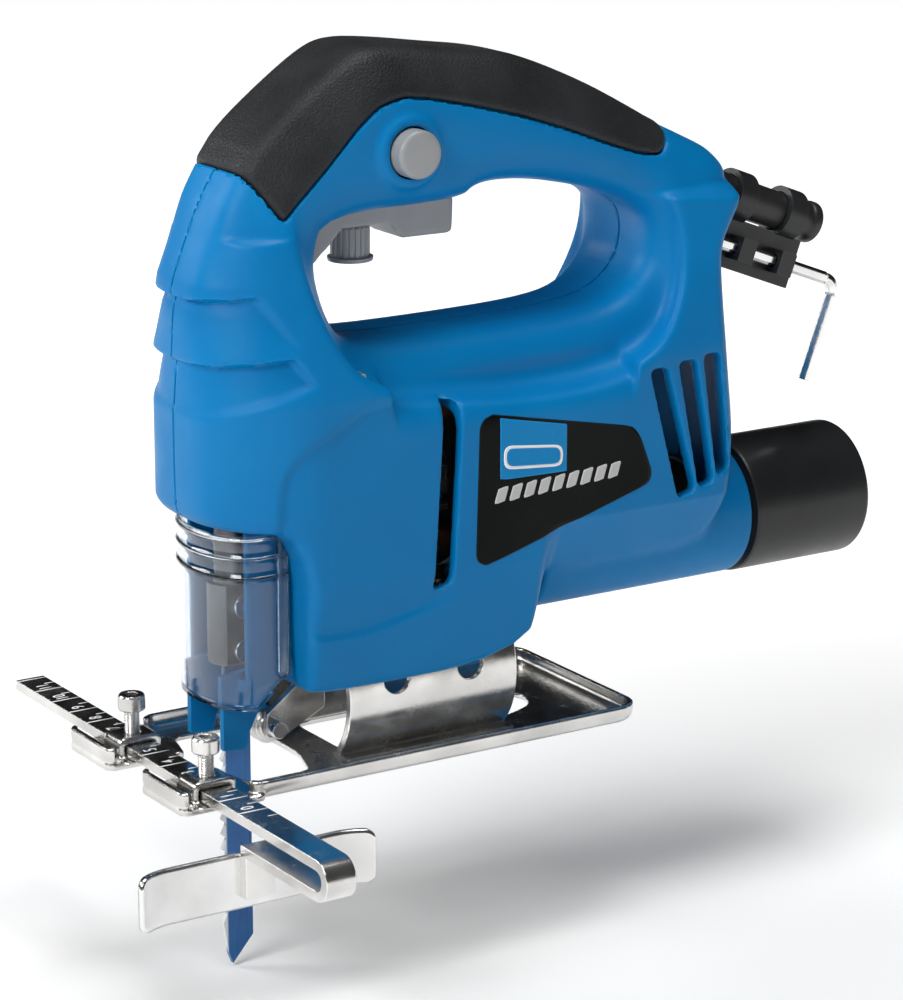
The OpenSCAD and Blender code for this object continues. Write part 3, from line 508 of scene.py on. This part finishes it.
BODY_HALF = 30.0
REAR_BULGE = 9.0
HANDLE_HALF = 19.0
WALL = 2.5
NOSE_MIDDLE = 12.0
TUBE_Z = 45.0
TUBE_R = 18.0
BUTTON_X, BUTTON_Z, BUTTON_R = 41.0, 155.0, 6.2
SLEEVE_X, SLEEVE_Z, SLEEVE_TILT = 143.0, 134.0, math.radians(21)
SCREW_SPOTS = [(9.5, 134.5), (26, 84), (34, 46), (62, 99.4), (75, 40), (98, 98), (127, 104)]

# outer line of nose and handle in side view, from the clear cover up and over to the cable end, and down
NOSE_FRONT = [(-12.5, 64), (-15.8, 66), (-17.3, 69), (-17.3, 95), (-17.5, 112), (-17.9, 119), (-17.0, 126),
              (-14.3, 133), (-9.4, 145), (-2.8, 154)]
TOP_LINE = [(3, 161.8), (15, 171.2), (27, 179.3), (34, 181.4), (46, 180.4), (60, 178.4), (73, 176.8),
            (84, 173.8), (101, 166.6), (114, 159.8), (125, 153.6), (134, 149.0), (143, 144)]
REAR_LINE = [(146.3, 140), (146.4, 133), (143, 128), (139.5, 122), (139.6, 112), (141, 94), (143.4, 74),
             (142.2, 57), (138.5, 47)]
BOTTOM_LINE = [(134, 41), (92, 40.5), (84, 40.5), (80.5, 41), (72, 20), (10, 19.7), (6.6, 24), (6.4, 64)]
CREASE = [(5, 141), (11, 121), (19, 105), (29, 98.5), (45, 95), (70, 92), (92, 92.5), (108, 96), (119, 102),
          (124, 111), (126, 122), (124.5, 136), (117, 149)]
HOLE = [(20, 140), (16.6, 130), (19, 118), (24, 109.5), (32, 107.2), (62, 107), (92, 107.6), (107, 110),
        (115.5, 117), (117.5, 126), (115, 133), (104, 138), (92, 141), (81, 143.2), (70, 144), (63, 143),
        (59.5, 140)]

outer_line = Outline(NOSE_FRONT + TOP_LINE + REAR_LINE + BOTTOM_LINE)
wide_part = Outline(NOSE_FRONT + [(-1, 151)] + CREASE + [(128, 151), (143, 144)] + REAR_LINE + BOTTOM_LINE)
ring_part = Outline([(-2, 157)] + TOP_LINE + [(143, 120), (141, 98), (120, 90), (30, 90), (4, 100),
                                              (-6, 130)])
hand_hole = Outline(HOLE)
flank_panel = Outline([(27, 99), (12, 92), (1, 85), (-2.5, 76), (-2.5, 30), (66, 44.5), (82, 62), (74, 92)])
grip_zone = Outline([(-30, 159.5), (-15, 159.5), (-11, 160.2), (-6.5, 157), (-1.5, 151), (4.6, 141.2),
                     (5.4, 141.2), (17, 152), (27, 162), (33, 166.6), (40, 168.2), (48, 167), (60, 164.3),
                     (75, 160.3), (88, 156), (101, 151), (112, 147.2), (119, 146.2), (123, 149.5),
                     (124.8, 155), (126, 165), (126, 200), (-30, 200)], 2.0)
vents = [Outline(slot, 1.8) for slot in (
    [(45, 93.5), (50, 92.5), (47.2, 46), (42, 45)], [(106.5, 94), (112, 94), (121.5, 60), (116, 58.5)],
    [(115.5, 95), (121, 95), (127.3, 61.5), (122.5, 60.5)],
    [(123.3, 96), (128.6, 96), (132.4, 64), (128.2, 63)])]
cheek_side = Outline([(-4.6, 66), (12, 66), (12, 25), (1, 24), (-4.6, 22)], 1.0)


def side_half_width(x, z):
    """Half width of the wide parts: full at the motor, leaning in to the handle and to the bottom."""
    upper = 10.5 * np.clip((z - 97) / 48, 0, 1.15) ** 1.15
    lower = 0.225 * np.clip(50 - z, 0, 40)
    rear = 0.64 * np.clip(58 - z, 0, 30)
    return BODY_HALF - upper - lower - (rear - lower) * smooth_step((x - 73) / 9)


def nose_reach(z):
    """Length of the nose ahead of its widest place, at each height."""
    heights = [p[1] for p in NOSE_FRONT] + [161.8]
    fronts = [p[0] for p in NOSE_FRONT] + [3.0]
    return NOSE_MIDDLE - np.interp(z, heights, fronts)


def nose_bands(x, z):
    """How far the overlapping bands of the nose are set in."""
    level = z - 0.12 * (x + 17)
    t = np.clip(122.6 - level, 0, 60)
    end = np.clip((-3.0 + 0.62 * t - x) / 1.5, 0, 1)
    upper = 2.9 * np.clip(1 - t / 15, 0, 1) * np.clip(t / 0.9, 0, 1) * end
    t = np.clip(106.8 - level, 0, 60)
    end = np.clip((4.0 + 0.62 * t - x) / 1.5, 0, 1)
    ridge = smooth_step((z - 0.36 * (x + 17) - 92.0) / 3.0)
    return upper + 2.9 * (1 - 0.8 * np.clip(t / 15, 0, 1)) * np.clip(t / 0.9, 0, 1) * end * ridge


def flank_relief(x, z):
    """The shallow panel between nose, label and the diagonal ridge."""
    return 1.25 * smooth_step(-flank_panel(x, z) / 3.0) * (1 - smooth_step((x - 34) / 34))


def hull_field(x, y, z, relief=True):
    """Outer skin of both shells before the grip, button and vents are cut in."""
    s = np.abs(y)
    true_x, x = x, x + REAR_BULGE * (s / BODY_HALF) ** 2 * smooth_step((x - 80) / 45)
    half = side_half_width(x, z)
    reach = nose_reach(z)
    ahead = np.clip((NOSE_MIDDLE - x) / reach, 0, None)
    nose = (np.sqrt(ahead ** 2 + (s / half) ** 2) - 1) * np.minimum(reach, half) * 1.05
    flank = np.where(x < NOSE_MIDDLE, nose, s - half)
    if relief:
        flank = flank + nose_bands(x, z) + flank_relief(x, z)
    body = smooth_max(flank, wide_part(x, z), 3.0)
    under_hole = smooth_step((x - 20) / 12) * smooth_step((117 - x) / 12)
    shoulder = (z - 107.5 + 0.44 * s) / 1.09
    body = smooth_max(body, shoulder * under_hole - 60 * (1 - under_hole), 9.0)
    ring = np.maximum(ring_part(x, z), -hand_hole(x, z))
    skin = smooth_min(smooth_max(ring, s - HANDLE_HALF, 11.0), body, 7.0)
    knob = smooth_max(np.hypot(true_x - 136.5, s) - 8.6, np.abs(z - 137.5) - 10.5, 4.0)
    skin = smooth_min(skin, knob, 4.0)
    outer = outer_line(x, z)
    crown = (s - 11.5 + 0.62 * outer) / 1.17 - 60 * smooth_step((138 - z) / 12)
    skin = smooth_max(skin, crown, 2.5 + 5.0 * smooth_step((x - 30) / 60))
    return smooth_max(skin, outer, 4.0)


def dust_tube(x, y, z, radius):
    return smooth_max(np.hypot(y, z - TUBE_Z) - radius, np.maximum(83 - x, x - 149.5), 1.2)


def cheeks(x, y, z):
    """Plates that reach down on both sides of the plunger, behind the clear cover."""
    return smooth_max(cheek_side(x, z), np.abs(np.abs(y) - 14.4) - 1.0, 0.8)


def along_sleeve(x, z):
    """Distance along the sleeve from the housing, and height above its middle line."""
    along = (x - SLEEVE_X) * math.cos(SLEEVE_TILT) - (z - SLEEVE_Z) * math.sin(SLEEVE_TILT)
    above = (z - SLEEVE_Z) * math.cos(SLEEVE_TILT) + (x - SLEEVE_X) * math.sin(SLEEVE_TILT)
    return along, above


def stroke_rooms():
    """Boxes in mm that plunger and yoke sweep, with a little room round them."""
    rooms = []
    stroke = next(joint for joint in frame["record"]["behaviour"]["joints"] if joint["name"] == "stroke")
    for node in ("plunger", "yoke"):
        low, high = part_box(node)
        rooms.append(((low.x / MM - 1.2, low.y / MM - 1.2, (low.z + stroke["range_m"][0]) / MM - 1.2),
                      (high.x / MM + 1.2, high.y / MM + 1.2, (high.z + stroke["range_m"][1]) / MM + 1.2)))
    return rooms


STROKE_ROOMS = stroke_rooms()


def shell_field(x, y, z):
    """One blue shell with its wall, cut at the parting plane; the lock button is on the -Y side."""
    s = np.abs(y)
    near = y < 0.3
    hull = hull_field(x, y, z)
    skin = smooth_min(smooth_min(hull, dust_tube(x, y, z, TUBE_R), 3.0), cheeks(x, y, z), 0.8)
    away = np.hypot(x - BUTTON_X, z - BUTTON_Z)
    boss = smooth_max(away - BUTTON_R - 2.4, s - HANDLE_HALF - 1.3, 1.6)
    skin = np.where(near, smooth_min(skin, boss, 2.5), skin)
    skin = np.maximum(skin, np.minimum(-grip_zone(x, z), skin + 1.7))
    hollow = hull_field(x, y, z, relief=False) + WALL + 1.3 + 2.0 * smooth_step((14 - x) / 10)
    hollow = hollow + 1.4 * smooth_step(1 - grip_zone(x, z) / 3)
    hollow = np.minimum(hollow, np.maximum(np.hypot(y, z - TUBE_Z) - TUBE_R + WALL, 86 - x))
    for at_x, at_z in SCREW_SPOTS:
        hollow = np.maximum(hollow, 5.0 - np.hypot(x - at_x, z - at_z))
    for low, high in STROKE_ROOMS:
        room = skin + 1.2
        for at, start, end in zip((x, y, z), low, high):
            room = np.maximum(room, np.maximum(start - at, at - end))
        hollow = np.minimum(hollow, room)
    field = smooth_max(skin, -hollow, 0.5)
    socket = np.maximum(away - BUTTON_R - 0.3, 14 - s)
    field = np.where(near, smooth_max(field, -socket, 0.8), field)
    for at_x, at_z in SCREW_SPOTS:
        pocket = smooth_max(np.hypot(x - at_x, z - at_z) - 3.2, 12.9 - s, 0.3)
        field = np.where(near, field, smooth_max(field, -pocket, 0.6))
    for slot in vents:
        field = smooth_max(field, -np.maximum(slot(x, z), 18 - s), 0.9)
    arch = np.maximum(np.hypot(y, z - 17) - 22.3, np.maximum(20.7 - x, x - 71.3))
    field = smooth_max(field, -arch, 0.6)
    well = np.maximum(np.maximum(s - 8.3, np.abs(x - 39.3) - 22.3), np.abs(z - 134) - 14)
    field = smooth_max(field, -well, 0.8)
    along, above = along_sleeve(x, z)
    field = smooth_max(field, -np.maximum(np.hypot(above, y) - 5.6, -20 - along), 0.8)
    field = smooth_max(field, -np.maximum(np.hypot(x, y) - 7.2, np.abs(z - 66) - 12), 0.5)
    return np.maximum(field, 0.03 - s)


def grip_field(x, y, z):
    """The soft cover, a skin that stands a little proud of the blue."""
    skin = hull_field(x, y, z)
    edge = smooth_max(skin - 0.45, grip_zone(x, z) + 0.35, 1.8)
    return smooth_max(edge, -(skin + 1.55), 0.3)


def build_housing():
    step = 0.9
    for name, node, low_y, high_y in (("left_shell", "left_housing", -31.5, 0.9),
                                      ("right_shell", "right_housing", -0.9, 31.5)):
        side = 1 if low_y < -1 else -1
        field = lambda x, y, z: np.maximum(shell_field(x, y, z), side * y + 0.03)
        points, faces = net_surface(field, (-22, low_y, 17.5), (161, high_y, 185), step)
        add_piece(name, points, faces, "housing", "blue_shell", (node,), 40)
    points, faces = net_surface(grip_field, (-24, -31.5, 136), (132, 31.5, 185), step)
    add_piece("grip_cover", points, faces, "housing", "black_grip", ("soft_grip",), 50)


def flank_height(x, z, height):
    """The y, on the lock button's side, where the skin stands height below its outer surface."""
    inner, outer = np.full(np.shape(x), -18.0), np.full(np.shape(x), -33.0)
    for _ in range(20):
        middle = (inner + outer) / 2
        inside = hull_field(x, middle, z) < height
        inner, outer = np.where(inside, middle, inner), np.where(inside, outer, middle)
    return inner


def grid_faces(rows, columns, closed=False):
    faces = []
    for i in range(rows - 1):
        for j in range(columns if closed else columns - 1):
            k = (j + 1) % columns
            faces.append((i * columns + j, i * columns + k, (i + 1) * columns + k, (i + 1) * columns + j))
    return faces


def film(name, curve, height, material=None, replaces=(), rows=50):
    """A printed film with a convex outline that follows the flank, height above it."""
    after = np.roll(curve, -1, axis=0)
    spans = []
    for z in np.linspace(curve[:, 1].min() + 0.02, curve[:, 1].max() - 0.02, rows):
        hits = [a[0] + (z - a[1]) / (b[1] - a[1]) * (b[0] - a[0]) for a, b in zip(curve, after)
                if (a[1] > z) != (b[1] > z)]
        spans.append(np.stack([np.linspace(min(hits), max(hits), rows), np.full(rows, z)], 1))
    flat = np.concatenate(spans)
    y = flank_height(flat[:, 0], flat[:, 1], height)
    points = np.stack([flat[:, 0], y, flat[:, 1]], 1)
    faces = grid_faces(rows, rows)
    piece = add_piece(name, points, faces, "housing", "label_print", replaces, 40, material)
    return thicken(piece, 0.35, -1)


def thicken(piece, thickness, side=-1):
    """Gives a sheet its thickness in millimetres, inwards or outwards."""
    made = piece.modifiers.new("thickness", "SOLIDIFY")
    made.thickness, made.offset, made.use_even_offset = thickness * MM, side, True
    return piece


def tinted(name, colour, rough=0.3):
    """Printing ink: one hue with a faint screen grain."""
    darker = tuple(c * 0.93 for c in colour)
    return moulded(name, darker, colour, rough, grain=1800, depth=0.00002, gloss=0.15).material


def build_label():
    """Black plate with a blue field, an empty rounded frame and slanted bars in place of any lettering."""
    plate = [(57.5, 89), (101, 80.2), (103.5, 77), (107.3, 67), (106.3, 64.2), (56, 49.6), (53.6, 51.5),
             (54.6, 86.5)]
    film("label_plate", rounded_outline(plate, 2), 0.1, None, ("label",))
    field = [(60.5, 87.6), (80.5, 83.5), (80.5, 71.2), (60.5, 71.6)]
    film("label_field", rounded_outline(field, 0.3), 0.2, tinted("label_blue", (0.0, 0.21, 0.50)))
    white = tinted("label_white", (0.8, 0.8, 0.8))
    rim = [(61.5, 80.4), (79.3, 78.3), (79.3, 72.7), (61.5, 74.2)]
    film("label_frame", rounded_outline(rim, 2.4), 0.28, white)
    inner = [(62.3, 79.6), (78.5, 77.7), (78.5, 73.5), (62.3, 74.9)]
    film("label_window", rounded_outline(inner, 2.0), 0.34, tinted("label_inner", (0.0, 0.21, 0.50)))
    silver = tinted("label_silver", (0.5, 0.5, 0.5))
    for i in range(9):
        x = 58.8 + i * 4.3
        z = 65.6 + 0.05 * (x - 58.8)
        bar = [(x, z), (x + 2.9, z + 0.1), (x + 4.2, z + 4.2), (x + 1.3, z + 4.1)]
        film("label_bar_%d" % (i + 1), rounded_outline(bar, 0.4), 0.26, silver, (), 10)


# ---- small parts ----------------------------------------------------------------------

def spun(profile, turn=64, knurl=None):
    """A profile (distance along, radius) spun about the Z axis; knurl(angle, along) adds to its radius."""
    angles = np.linspace(0, 2 * math.pi, turn, endpoint=False)
    points = []
    for along, radius in profile:
        extra = knurl(angles, along) if knurl and radius > 0 else 0
        r = radius + extra
        points.append(np.stack([r * np.cos(angles), r * np.sin(angles), np.full(turn, along)], 1))
    points = np.concatenate(points)
    return points, grid_faces(len(profile), turn, closed=True)


def fillet(profile, radius, steps=4):
    """Rounds the inner corners of an open profile."""
    p = [np.array(q, float) for q in profile]
    curve = [p[0]]
    for before, here, after in zip(p, p[1:], p[2:]):
        into, out = before - here, after - here
        a = here + into * min(radius / max(np.linalg.norm(into), 1e-6), 0.48)
        b = here + out * min(radius / max(np.linalg.norm(out), 1e-6), 0.48)
        for t in np.linspace(0, 1, steps + 1):
            curve.append(a * (1 - t) ** 2 + here * 2 * t * (1 - t) + b * t * t)
    return curve + [p[-1]]


def stand(points, origin, direction):
    """Turns points built along Z so that they run along direction from origin."""
    turn = np.array(Vector(direction).to_track_quat("Z", "Y").to_matrix())
    return np.asarray(points) @ turn.T + np.array(origin)


def turned(name, profile, origin, direction, body, slot, replaces=(), radius=0.4, turn=64, knurl=None,
           sharp=35):
    """A turned part: profile (along, radius), closed on its axis or round its bore."""
    points, faces = spun(fillet(profile, radius), turn, knurl)
    return add_piece(name, stand(points, origin, direction), faces, body, slot, replaces, sharp)


def middle(node):
    low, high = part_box(node)
    return (low + high) / 2 / MM


def build_dust_port():
    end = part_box("dust_collar")[1].x / MM
    start = end - 38
    outer = 18.35
    profile = [(start - 15, 13.8), (start - 15, 15.4), (start - 1, 15.4), (start, 17.2), (start, outer),
               (end, outer), (end, 15.8), (end - 2.5, 14.4), (start - 15, 13.8)]
    turned("dust_collar_sleeve", profile, (0, 0, TUBE_Z), (1, 0, 0), "dust_collar", "black_plastic",
           ("dust_collar",), 1.3, 120)


def build_sleeve():
    """The rubber sleeve with its end bead, hollow for the cable."""
    direction = (math.cos(SLEEVE_TILT), 0, -math.sin(SLEEVE_TILT))
    profile = [(-12, 3.6), (-12, 5.3), (0, 5.35), (36.5, 5.05), (37.4, 5.7), (39.7, 5.7), (40, 4.6),
               (38, 3.6), (-12, 3.6)]
    turned("cable_sleeve", profile, (SLEEVE_X, 0, SLEEVE_Z), direction, "housing", "black_rubber",
           ("strain_relief",), 0.7, 72)


def build_lock_button():
    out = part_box("lock_button")[0].y / MM
    profile = [(0, 0), (0, 5.2), (0.7, 6.05), (10.5, 6.1), (10.5, 0)]
    turned("lock_button_cap", profile, (BUTTON_X, out, BUTTON_Z), (0, 1, 0), "lock_button", "grey_plastic",
           ("lock_button",), 0.6, 72)


def build_trigger():
    """Finger trigger with the recess round the dial, and the knurled dial itself."""
    side_view = Outline([(17.8, 127.2), (20.2, 127), (22.6, 129.8), (26, 131.2), (60.6, 131), (61, 140.6),
                         (58.4, 141), (58.4, 146), (30, 146), (30, 141), (17.8, 139)], 1.6)
    dial_x = middle("speed_dial")[0]

    def field(x, y, z):
        body = smooth_max(side_view(x, z), np.abs(y) - 7.8, 1.4)
        flare = 6.4 + 0.9 * np.clip(136 - z, 0, 8)
        recess = np.maximum(np.abs(x - dial_x) - flare, z - 135.4)
        recess = np.maximum(recess, np.hypot(x - dial_x, y) - flare - 3)
        bore = np.hypot(x - dial_x, y) - 1.8
        return np.maximum(smooth_max(body, -recess, 0.7), -bore)
    points, faces = net_surface(field, (16, -9, 125), (63, 9, 148), 0.55)
    add_piece("trigger_lever", points, faces, "trigger", "grey_plastic", ("trigger",), 40)
    dial_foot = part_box("speed_dial")[0].z / MM
    ribs = lambda angle, along: np.where(1.6 < along < 9.0, -0.34 * (np.cos(20 * angle) > 0.2), 0.0)
    profile = [(0, 0), (0, 5.7), (1.1, 5.9), (1.2, 4.7), (1.7, 5.0), (8.6, 5.0), (9.2, 4.4), (9.2, 1.6),
               (14.2, 1.6), (14.2, 0)]
    turned("dial_wheel", profile, (dial_x, 0, dial_foot), (0, 0, 1), "speed_dial", "grey_plastic",
           ("speed_dial",), 0.25, 160, ribs, 30)


def cover_section(z):
    """Plan of the clear cover at one height, from one rear edge round the front to the other."""
    bead = 0.75 * sum(np.exp(-((z - at) / 0.9) ** 2) for at in (62.3, 57.6, 52.6))
    half, reach = 17.2 + bead, 9.6 + bead
    angles = np.linspace(-90, 90, 49) * math.pi / 180
    front = np.stack([-2.0 - reach * np.cos(angles), half * np.sin(angles)], 1)
    rear = 6.0
    near = np.stack([np.linspace(rear, -1.2, 8), np.full(8, -half)], 1)
    far = near[::-1] * (1, -1)
    return np.concatenate([near, front, far])


def build_cover():
    """Clear guard round the plunger: a bent sheet with three beads and a thick strip at each rear edge."""
    heights = np.concatenate([np.linspace(0, 0.6, 16), np.linspace(0.61, 1, 60)])
    top = 63.5
    base = cover_section(40)
    low = 18.4 + 0.95 * np.clip(base[:, 0] + 3.2, 0, None)
    rows = []
    for share in heights:
        z = low + (top - low) * share
        x, y = np.array([cover_section(h)[i] for i, h in enumerate(z)]).T
        rows.append(np.stack([x, y, z], 1))
    points = np.concatenate(rows)
    faces = grid_faces(len(heights), len(base))
    cover = add_piece("clear_cover", points, faces, "dust_cover", "clear_plastic", ("dust_cover",), 60)
    thicken(cover, 1.3, 1)
    for side, name in ((-1, "cover_strip_near"), (1, "cover_strip_far")):
        strip = lambda x, y, z: smooth_max(np.maximum(np.abs(x - 4.6) - 1.5, np.abs(y - side * 17.1) - 1.0),
                                           np.abs(z - 44.5) - 18.6, 0.8)
        points, faces = net_surface(strip, (2, side * 17.1 - 2, 24), (8, side * 17.1 + 2, 65), 0.6)
        add_piece(name, points, faces, "dust_cover", "clear_plastic", (), 50)


PLATE_T = 1.6
SOLE_BOX = (-12.0, 105.0, 31.0)
BAR_X, BAR_TOP = -21.0, 4.7
OUTLINE_SHIFT = 40.0  # brings an outline in plan, from Y -40 up, into an Outline's range
SCALE_ZERO, SCALE_LAST = -46.4, 12
GUIDE_SCREWS = {"near_guide_screw": -23.0, "far_guide_screw": 16.0}


def rounded_plan(x, y, x0, x1, half, radius):
    """Signed distance in plan of a rectangle with rounded corners."""
    qx = np.abs(x - (x0 + x1) / 2) - (x1 - x0) / 2 + radius
    qy = np.abs(y) - half + radius
    return np.hypot(np.clip(qx, 0, None), np.clip(qy, 0, None)) + np.minimum(np.maximum(qx, qy), 0) - radius


def bent_tray(plan, z, height, bend, open_front=None):
    """Sheet steel with its edge bent up all round: a tray of one thickness."""
    outer = smooth_max(smooth_max(plan, -z, bend * 1.6), z - height, 0.6)
    inner = smooth_max(plan + PLATE_T, PLATE_T - z, bend)
    if open_front is not None:
        inner = np.minimum(inner, np.maximum(open_front, PLATE_T - z))
    return smooth_max(outer, -inner, 0.4)


def sole_field(x, y, z):
    """Pressed steel sole: bent rims, two tongues with curled lips, and the bridges over the guide bar."""
    x0, x1, half = SOLE_BOX
    plan = rounded_plan(x, y, x0, x1, half, np.where(x > 40, 7.0, 4.5))
    front = np.maximum(x - 2, np.abs(y) - half + 3.4)
    sole = bent_tray(plan, z, 5.0, 2.4, front)
    for near, far in ((-31.0, -8.0), (8.0, 31.0)):
        centre, wide = (near + far) / 2, (far - near) / 2
        tongue = rounded_plan(x, y - centre, -32.0, 4.0, wide, 3.0)
        lip = np.maximum(bent_tray(tongue, z, 6.0, 2.6, np.maximum(-29.8 - x, tongue)), x + 27.5)
        sheet = smooth_max(tongue, np.abs(z - PLATE_T / 2) - PLATE_T / 2, 0.5)
        sole = smooth_min(sole, smooth_min(np.maximum(sheet, x + 9), lip, 1.0), 1.2)
        bridge_y = near + 8.0
        across = np.abs(x - BAR_X)
        arch = smooth_max(across - 6.1, z - 6.8, 2.2)
        tunnel = smooth_max(across - 4.3, z - 5.0, 0.8)
        bridge = smooth_max(np.maximum(arch, -tunnel), np.abs(y - bridge_y) - 4.5, 0.9)
        sole = smooth_min(sole, np.maximum(bridge, -z), 1.0)
    cut = np.minimum(BLADE_SLOT(x, y + OUTLINE_SHIFT), ARCH_SLOT(x, y + OUTLINE_SHIFT))
    cut = np.maximum(cut, -1.0 - z)
    for at_y in GUIDE_SCREWS.values():
        cut = np.minimum(cut, np.hypot(x - BAR_X, y - at_y) - 2.06)
    sole = np.maximum(sole, -np.maximum(np.abs(x - BAR_X) - 4.3, np.abs(z - 3.4) - 1.6))
    return np.maximum(smooth_max(sole, -cut, 0.7), np.maximum(-z, z - 6.8))


BLADE_SLOT = Outline([(-42, 34), (-11, 34), (-7, 20), (10, 20), (14, 32), (14, 48), (10, 60), (-7, 60),
                      (-11, 46), (-42, 46)], 2.5)
ARCH_SLOT = Outline([(25, 27), (66, 27), (78, 30), (85.5, 33.5), (88, 40), (85.5, 46.5), (78, 50), (66, 53),
                     (25, 53)], 4.0)


def build_sole():
    step = 0.6
    points, faces = net_surface(sole_field, (-33.5, -32, -0.8), (106.5, 32, 7.6), step)
    add_piece("sole_tray", points, faces, "sole", "zinc_steel", ("sole_plate",), 50)


def build_guide_scale():
    """Engraved marks every 10 mm on the guide bar, with plain numbers."""
    top = BAR_TOP + 0.04
    points, faces = [], []
    for number in range(SCALE_LAST + 1):
        y = SCALE_ZERO + 10 * number
        for at, x0, x1, wide in ((y, -25.0, -17.0, 0.22), (y - 5, -19.8, -17.0, 0.16)):
            base = len(points)
            start, end = at - wide, at + wide
            points += [(x0, start, top), (x1, start, top), (x1, end, top), (x0, end, top)]
            faces.append((base, base + 1, base + 2, base + 3))
    marks = add_piece("guide_marks", points, faces, "guide", "zinc_steel", (), 35, ENGRAVED)
    thicken(marks, 0.05)
    points, faces = [], []
    for number in range(SCALE_LAST):
        curve = bpy.data.curves.new("number", "FONT")
        curve.body, curve.size, curve.align_x, curve.align_y = str(number), 5.0, "CENTER", "CENTER"
        text = bpy.data.objects.new("number", curve)
        mesh = bpy.data.meshes.new_from_object(text)
        base = len(points)
        y = SCALE_ZERO + 10 * number + 2.6
        points += [(BAR_X - v.co.y, y + v.co.x * 0.8, top) for v in mesh.vertices]
        faces += [tuple(base + i for i in polygon.vertices) for polygon in mesh.polygons]
        bpy.data.objects.remove(text)
        bpy.data.curves.remove(curve)
        bpy.data.meshes.remove(mesh)
    numbers = add_piece("guide_numbers", points, faces, "guide", "zinc_steel", (), 35, ENGRAVED)
    thicken(numbers, 0.05)


def hexagon(angle, flats):
    """Radius of a hexagon, across its flats, in each direction."""
    turn = (angle + math.pi / 6) % (math.pi / 3) - math.pi / 6
    return flats / 2 / np.cos(turn)


def build_guide_screws():
    """Socket head screws: a knurled head, a hexagon recess, and a thread."""
    for node, y in GUIDE_SCREWS.items():
        low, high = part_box(node)
        z0, top = low.z / MM, high.z / MM
        thread = [(z0 + 0.25 + 0.35 * i, 2.0 if i % 2 else 1.68) for i in range(22)]
        profile = [(z0, 0.0), (z0, 1.6)] + thread + [(top - 4, 1.9), (top - 4, 3.3), (top - 3.7, 3.5),
                   (top - 0.5, 3.5), (top, 3.1), (top, 1.9), (top - 2.2, 1.75), (top - 2.6, 0.0)]

        def shape(angle, along, radius, top=top):
            if top - 3.6 < along < top - 0.6 and radius > 3.2:
                return 0.11 * np.cos(36 * angle)
            if along > top - 2.4 and radius < 2.0:
                return hexagon(angle, 3.0) - radius
            return 0.0
        points, faces = spun_shape(profile, shape, 144)
        points = points + np.array([BAR_X, y, 0])
        add_piece(node + "_socket_head", points, faces, node, "zinc_steel", (node,), 30)


def spun_shape(profile, shape, turn):
    """A profile spun about Z whose radius also depends on the angle."""
    angles = np.linspace(0, 2 * math.pi, turn, endpoint=False)
    rows = []
    for along, radius in profile:
        r = np.maximum(radius + shape(angles, along, radius), 0.0)
        rows.append(np.stack([r * np.cos(angles), r * np.sin(angles), np.full(turn, along)], 1))
    return np.concatenate(rows), grid_faces(len(profile), turn, closed=True)


def build_fence():
    """Fence plate: sheet steel with rounded corners, its two ends flared towards -Y."""
    low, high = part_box("fence_plate")
    x0, x1, z0, z1 = low.x / MM, high.x / MM, low.z / MM, high.z / MM
    back = high.y / MM - 0.05
    corner = 2.6
    straight = np.linspace(x0 + corner, x1 - corner, 60)[1:-1]
    across = np.concatenate([np.linspace(x0, x0 + corner, 9), straight, np.linspace(x1 - corner, x1, 9)])
    from_end = np.minimum(across - x0, x1 - across)
    in_corner = np.clip(corner - from_end, 0, corner)
    inset = corner - np.sqrt(np.clip(corner ** 2 - in_corner ** 2, 0, None))
    flare = 3.6 * (np.clip(10 - from_end, 0, 10) / 10) ** 2
    shares = np.linspace(0, 1, 14)
    tall = z1 - z0 - 2 * inset
    points = np.concatenate([np.stack([across, back - flare, z0 + inset + tall * share], 1) for share in shares])
    faces = grid_faces(len(shares), len(across))
    plate = add_piece("fence_sheet", points, faces, "guide", "bright_steel", ("fence_plate",), 50)
    thicken(plate, 1.5, 1)


def build_roller():
    """Grooved roller behind the blade, stepped on both faces."""
    low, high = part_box("roller")
    y0, y1 = low.y / MM, high.y / MM
    centre = middle("roller")
    width = y1 - y0
    steps = [(0, 1.62), (0, 2.9), (0.35, 3.0), (0.4, 3.9), (0.7, 4.0), (0.75, 4.9)]
    profile = steps + [(width / 2, 4.55)] + [(width - at, r) for at, r in reversed(steps)] + steps[:1]
    turned("guide_roller", profile, (centre[0], y0, centre[2]), (0, 1, 0), "roller", "zinc_steel",
           ("roller",), 0.12, 96)


def build_small_parts():
    build_dust_port()
    build_sleeve()
    build_lock_button()
    build_trigger()
    build_cover()
    build_sole()
    build_guide_scale()
    build_guide_screws()
    build_fence()
    build_roller()


MATERIALS = make_materials()
ENGRAVED = tinted("engraved_marks", (0.75, 0.75, 0.75), 0.5)
make_camera()
make_lights()
make_floor()
build_housing()
build_label()
build_small_parts()


# ---- carried-over nodes ---------------------------------------------------------------

# painted shade: these parts sit inside the clear cover and get the dark steel in place of their own finish
SHADED_IN_COVER = ("blade_clamp", "plunger")


def dress_nodes():
    """Gives every CAD node that is still shown the material of its record slot, except the blade clamp and
    plunger inside the clear cover, which get the dark steel as painted shade.
    """
    stood_for = {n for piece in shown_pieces() for n in piece.get("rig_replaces", [])}
    for entry in frame["record"]["subparts"]:
        name = entry.get("node") or entry.get("name")
        if name in stood_for or name not in NODES:
            continue
        slots = NODES[name].material_slots
        # painted shade: dark steel for the parts inside the cover
        finish_or_shade = "dark_steel" if name in SHADED_IN_COVER else entry["material_slot"]
        for slot in slots:
            slot.material = MATERIALS[finish_or_shade]


dress_nodes()
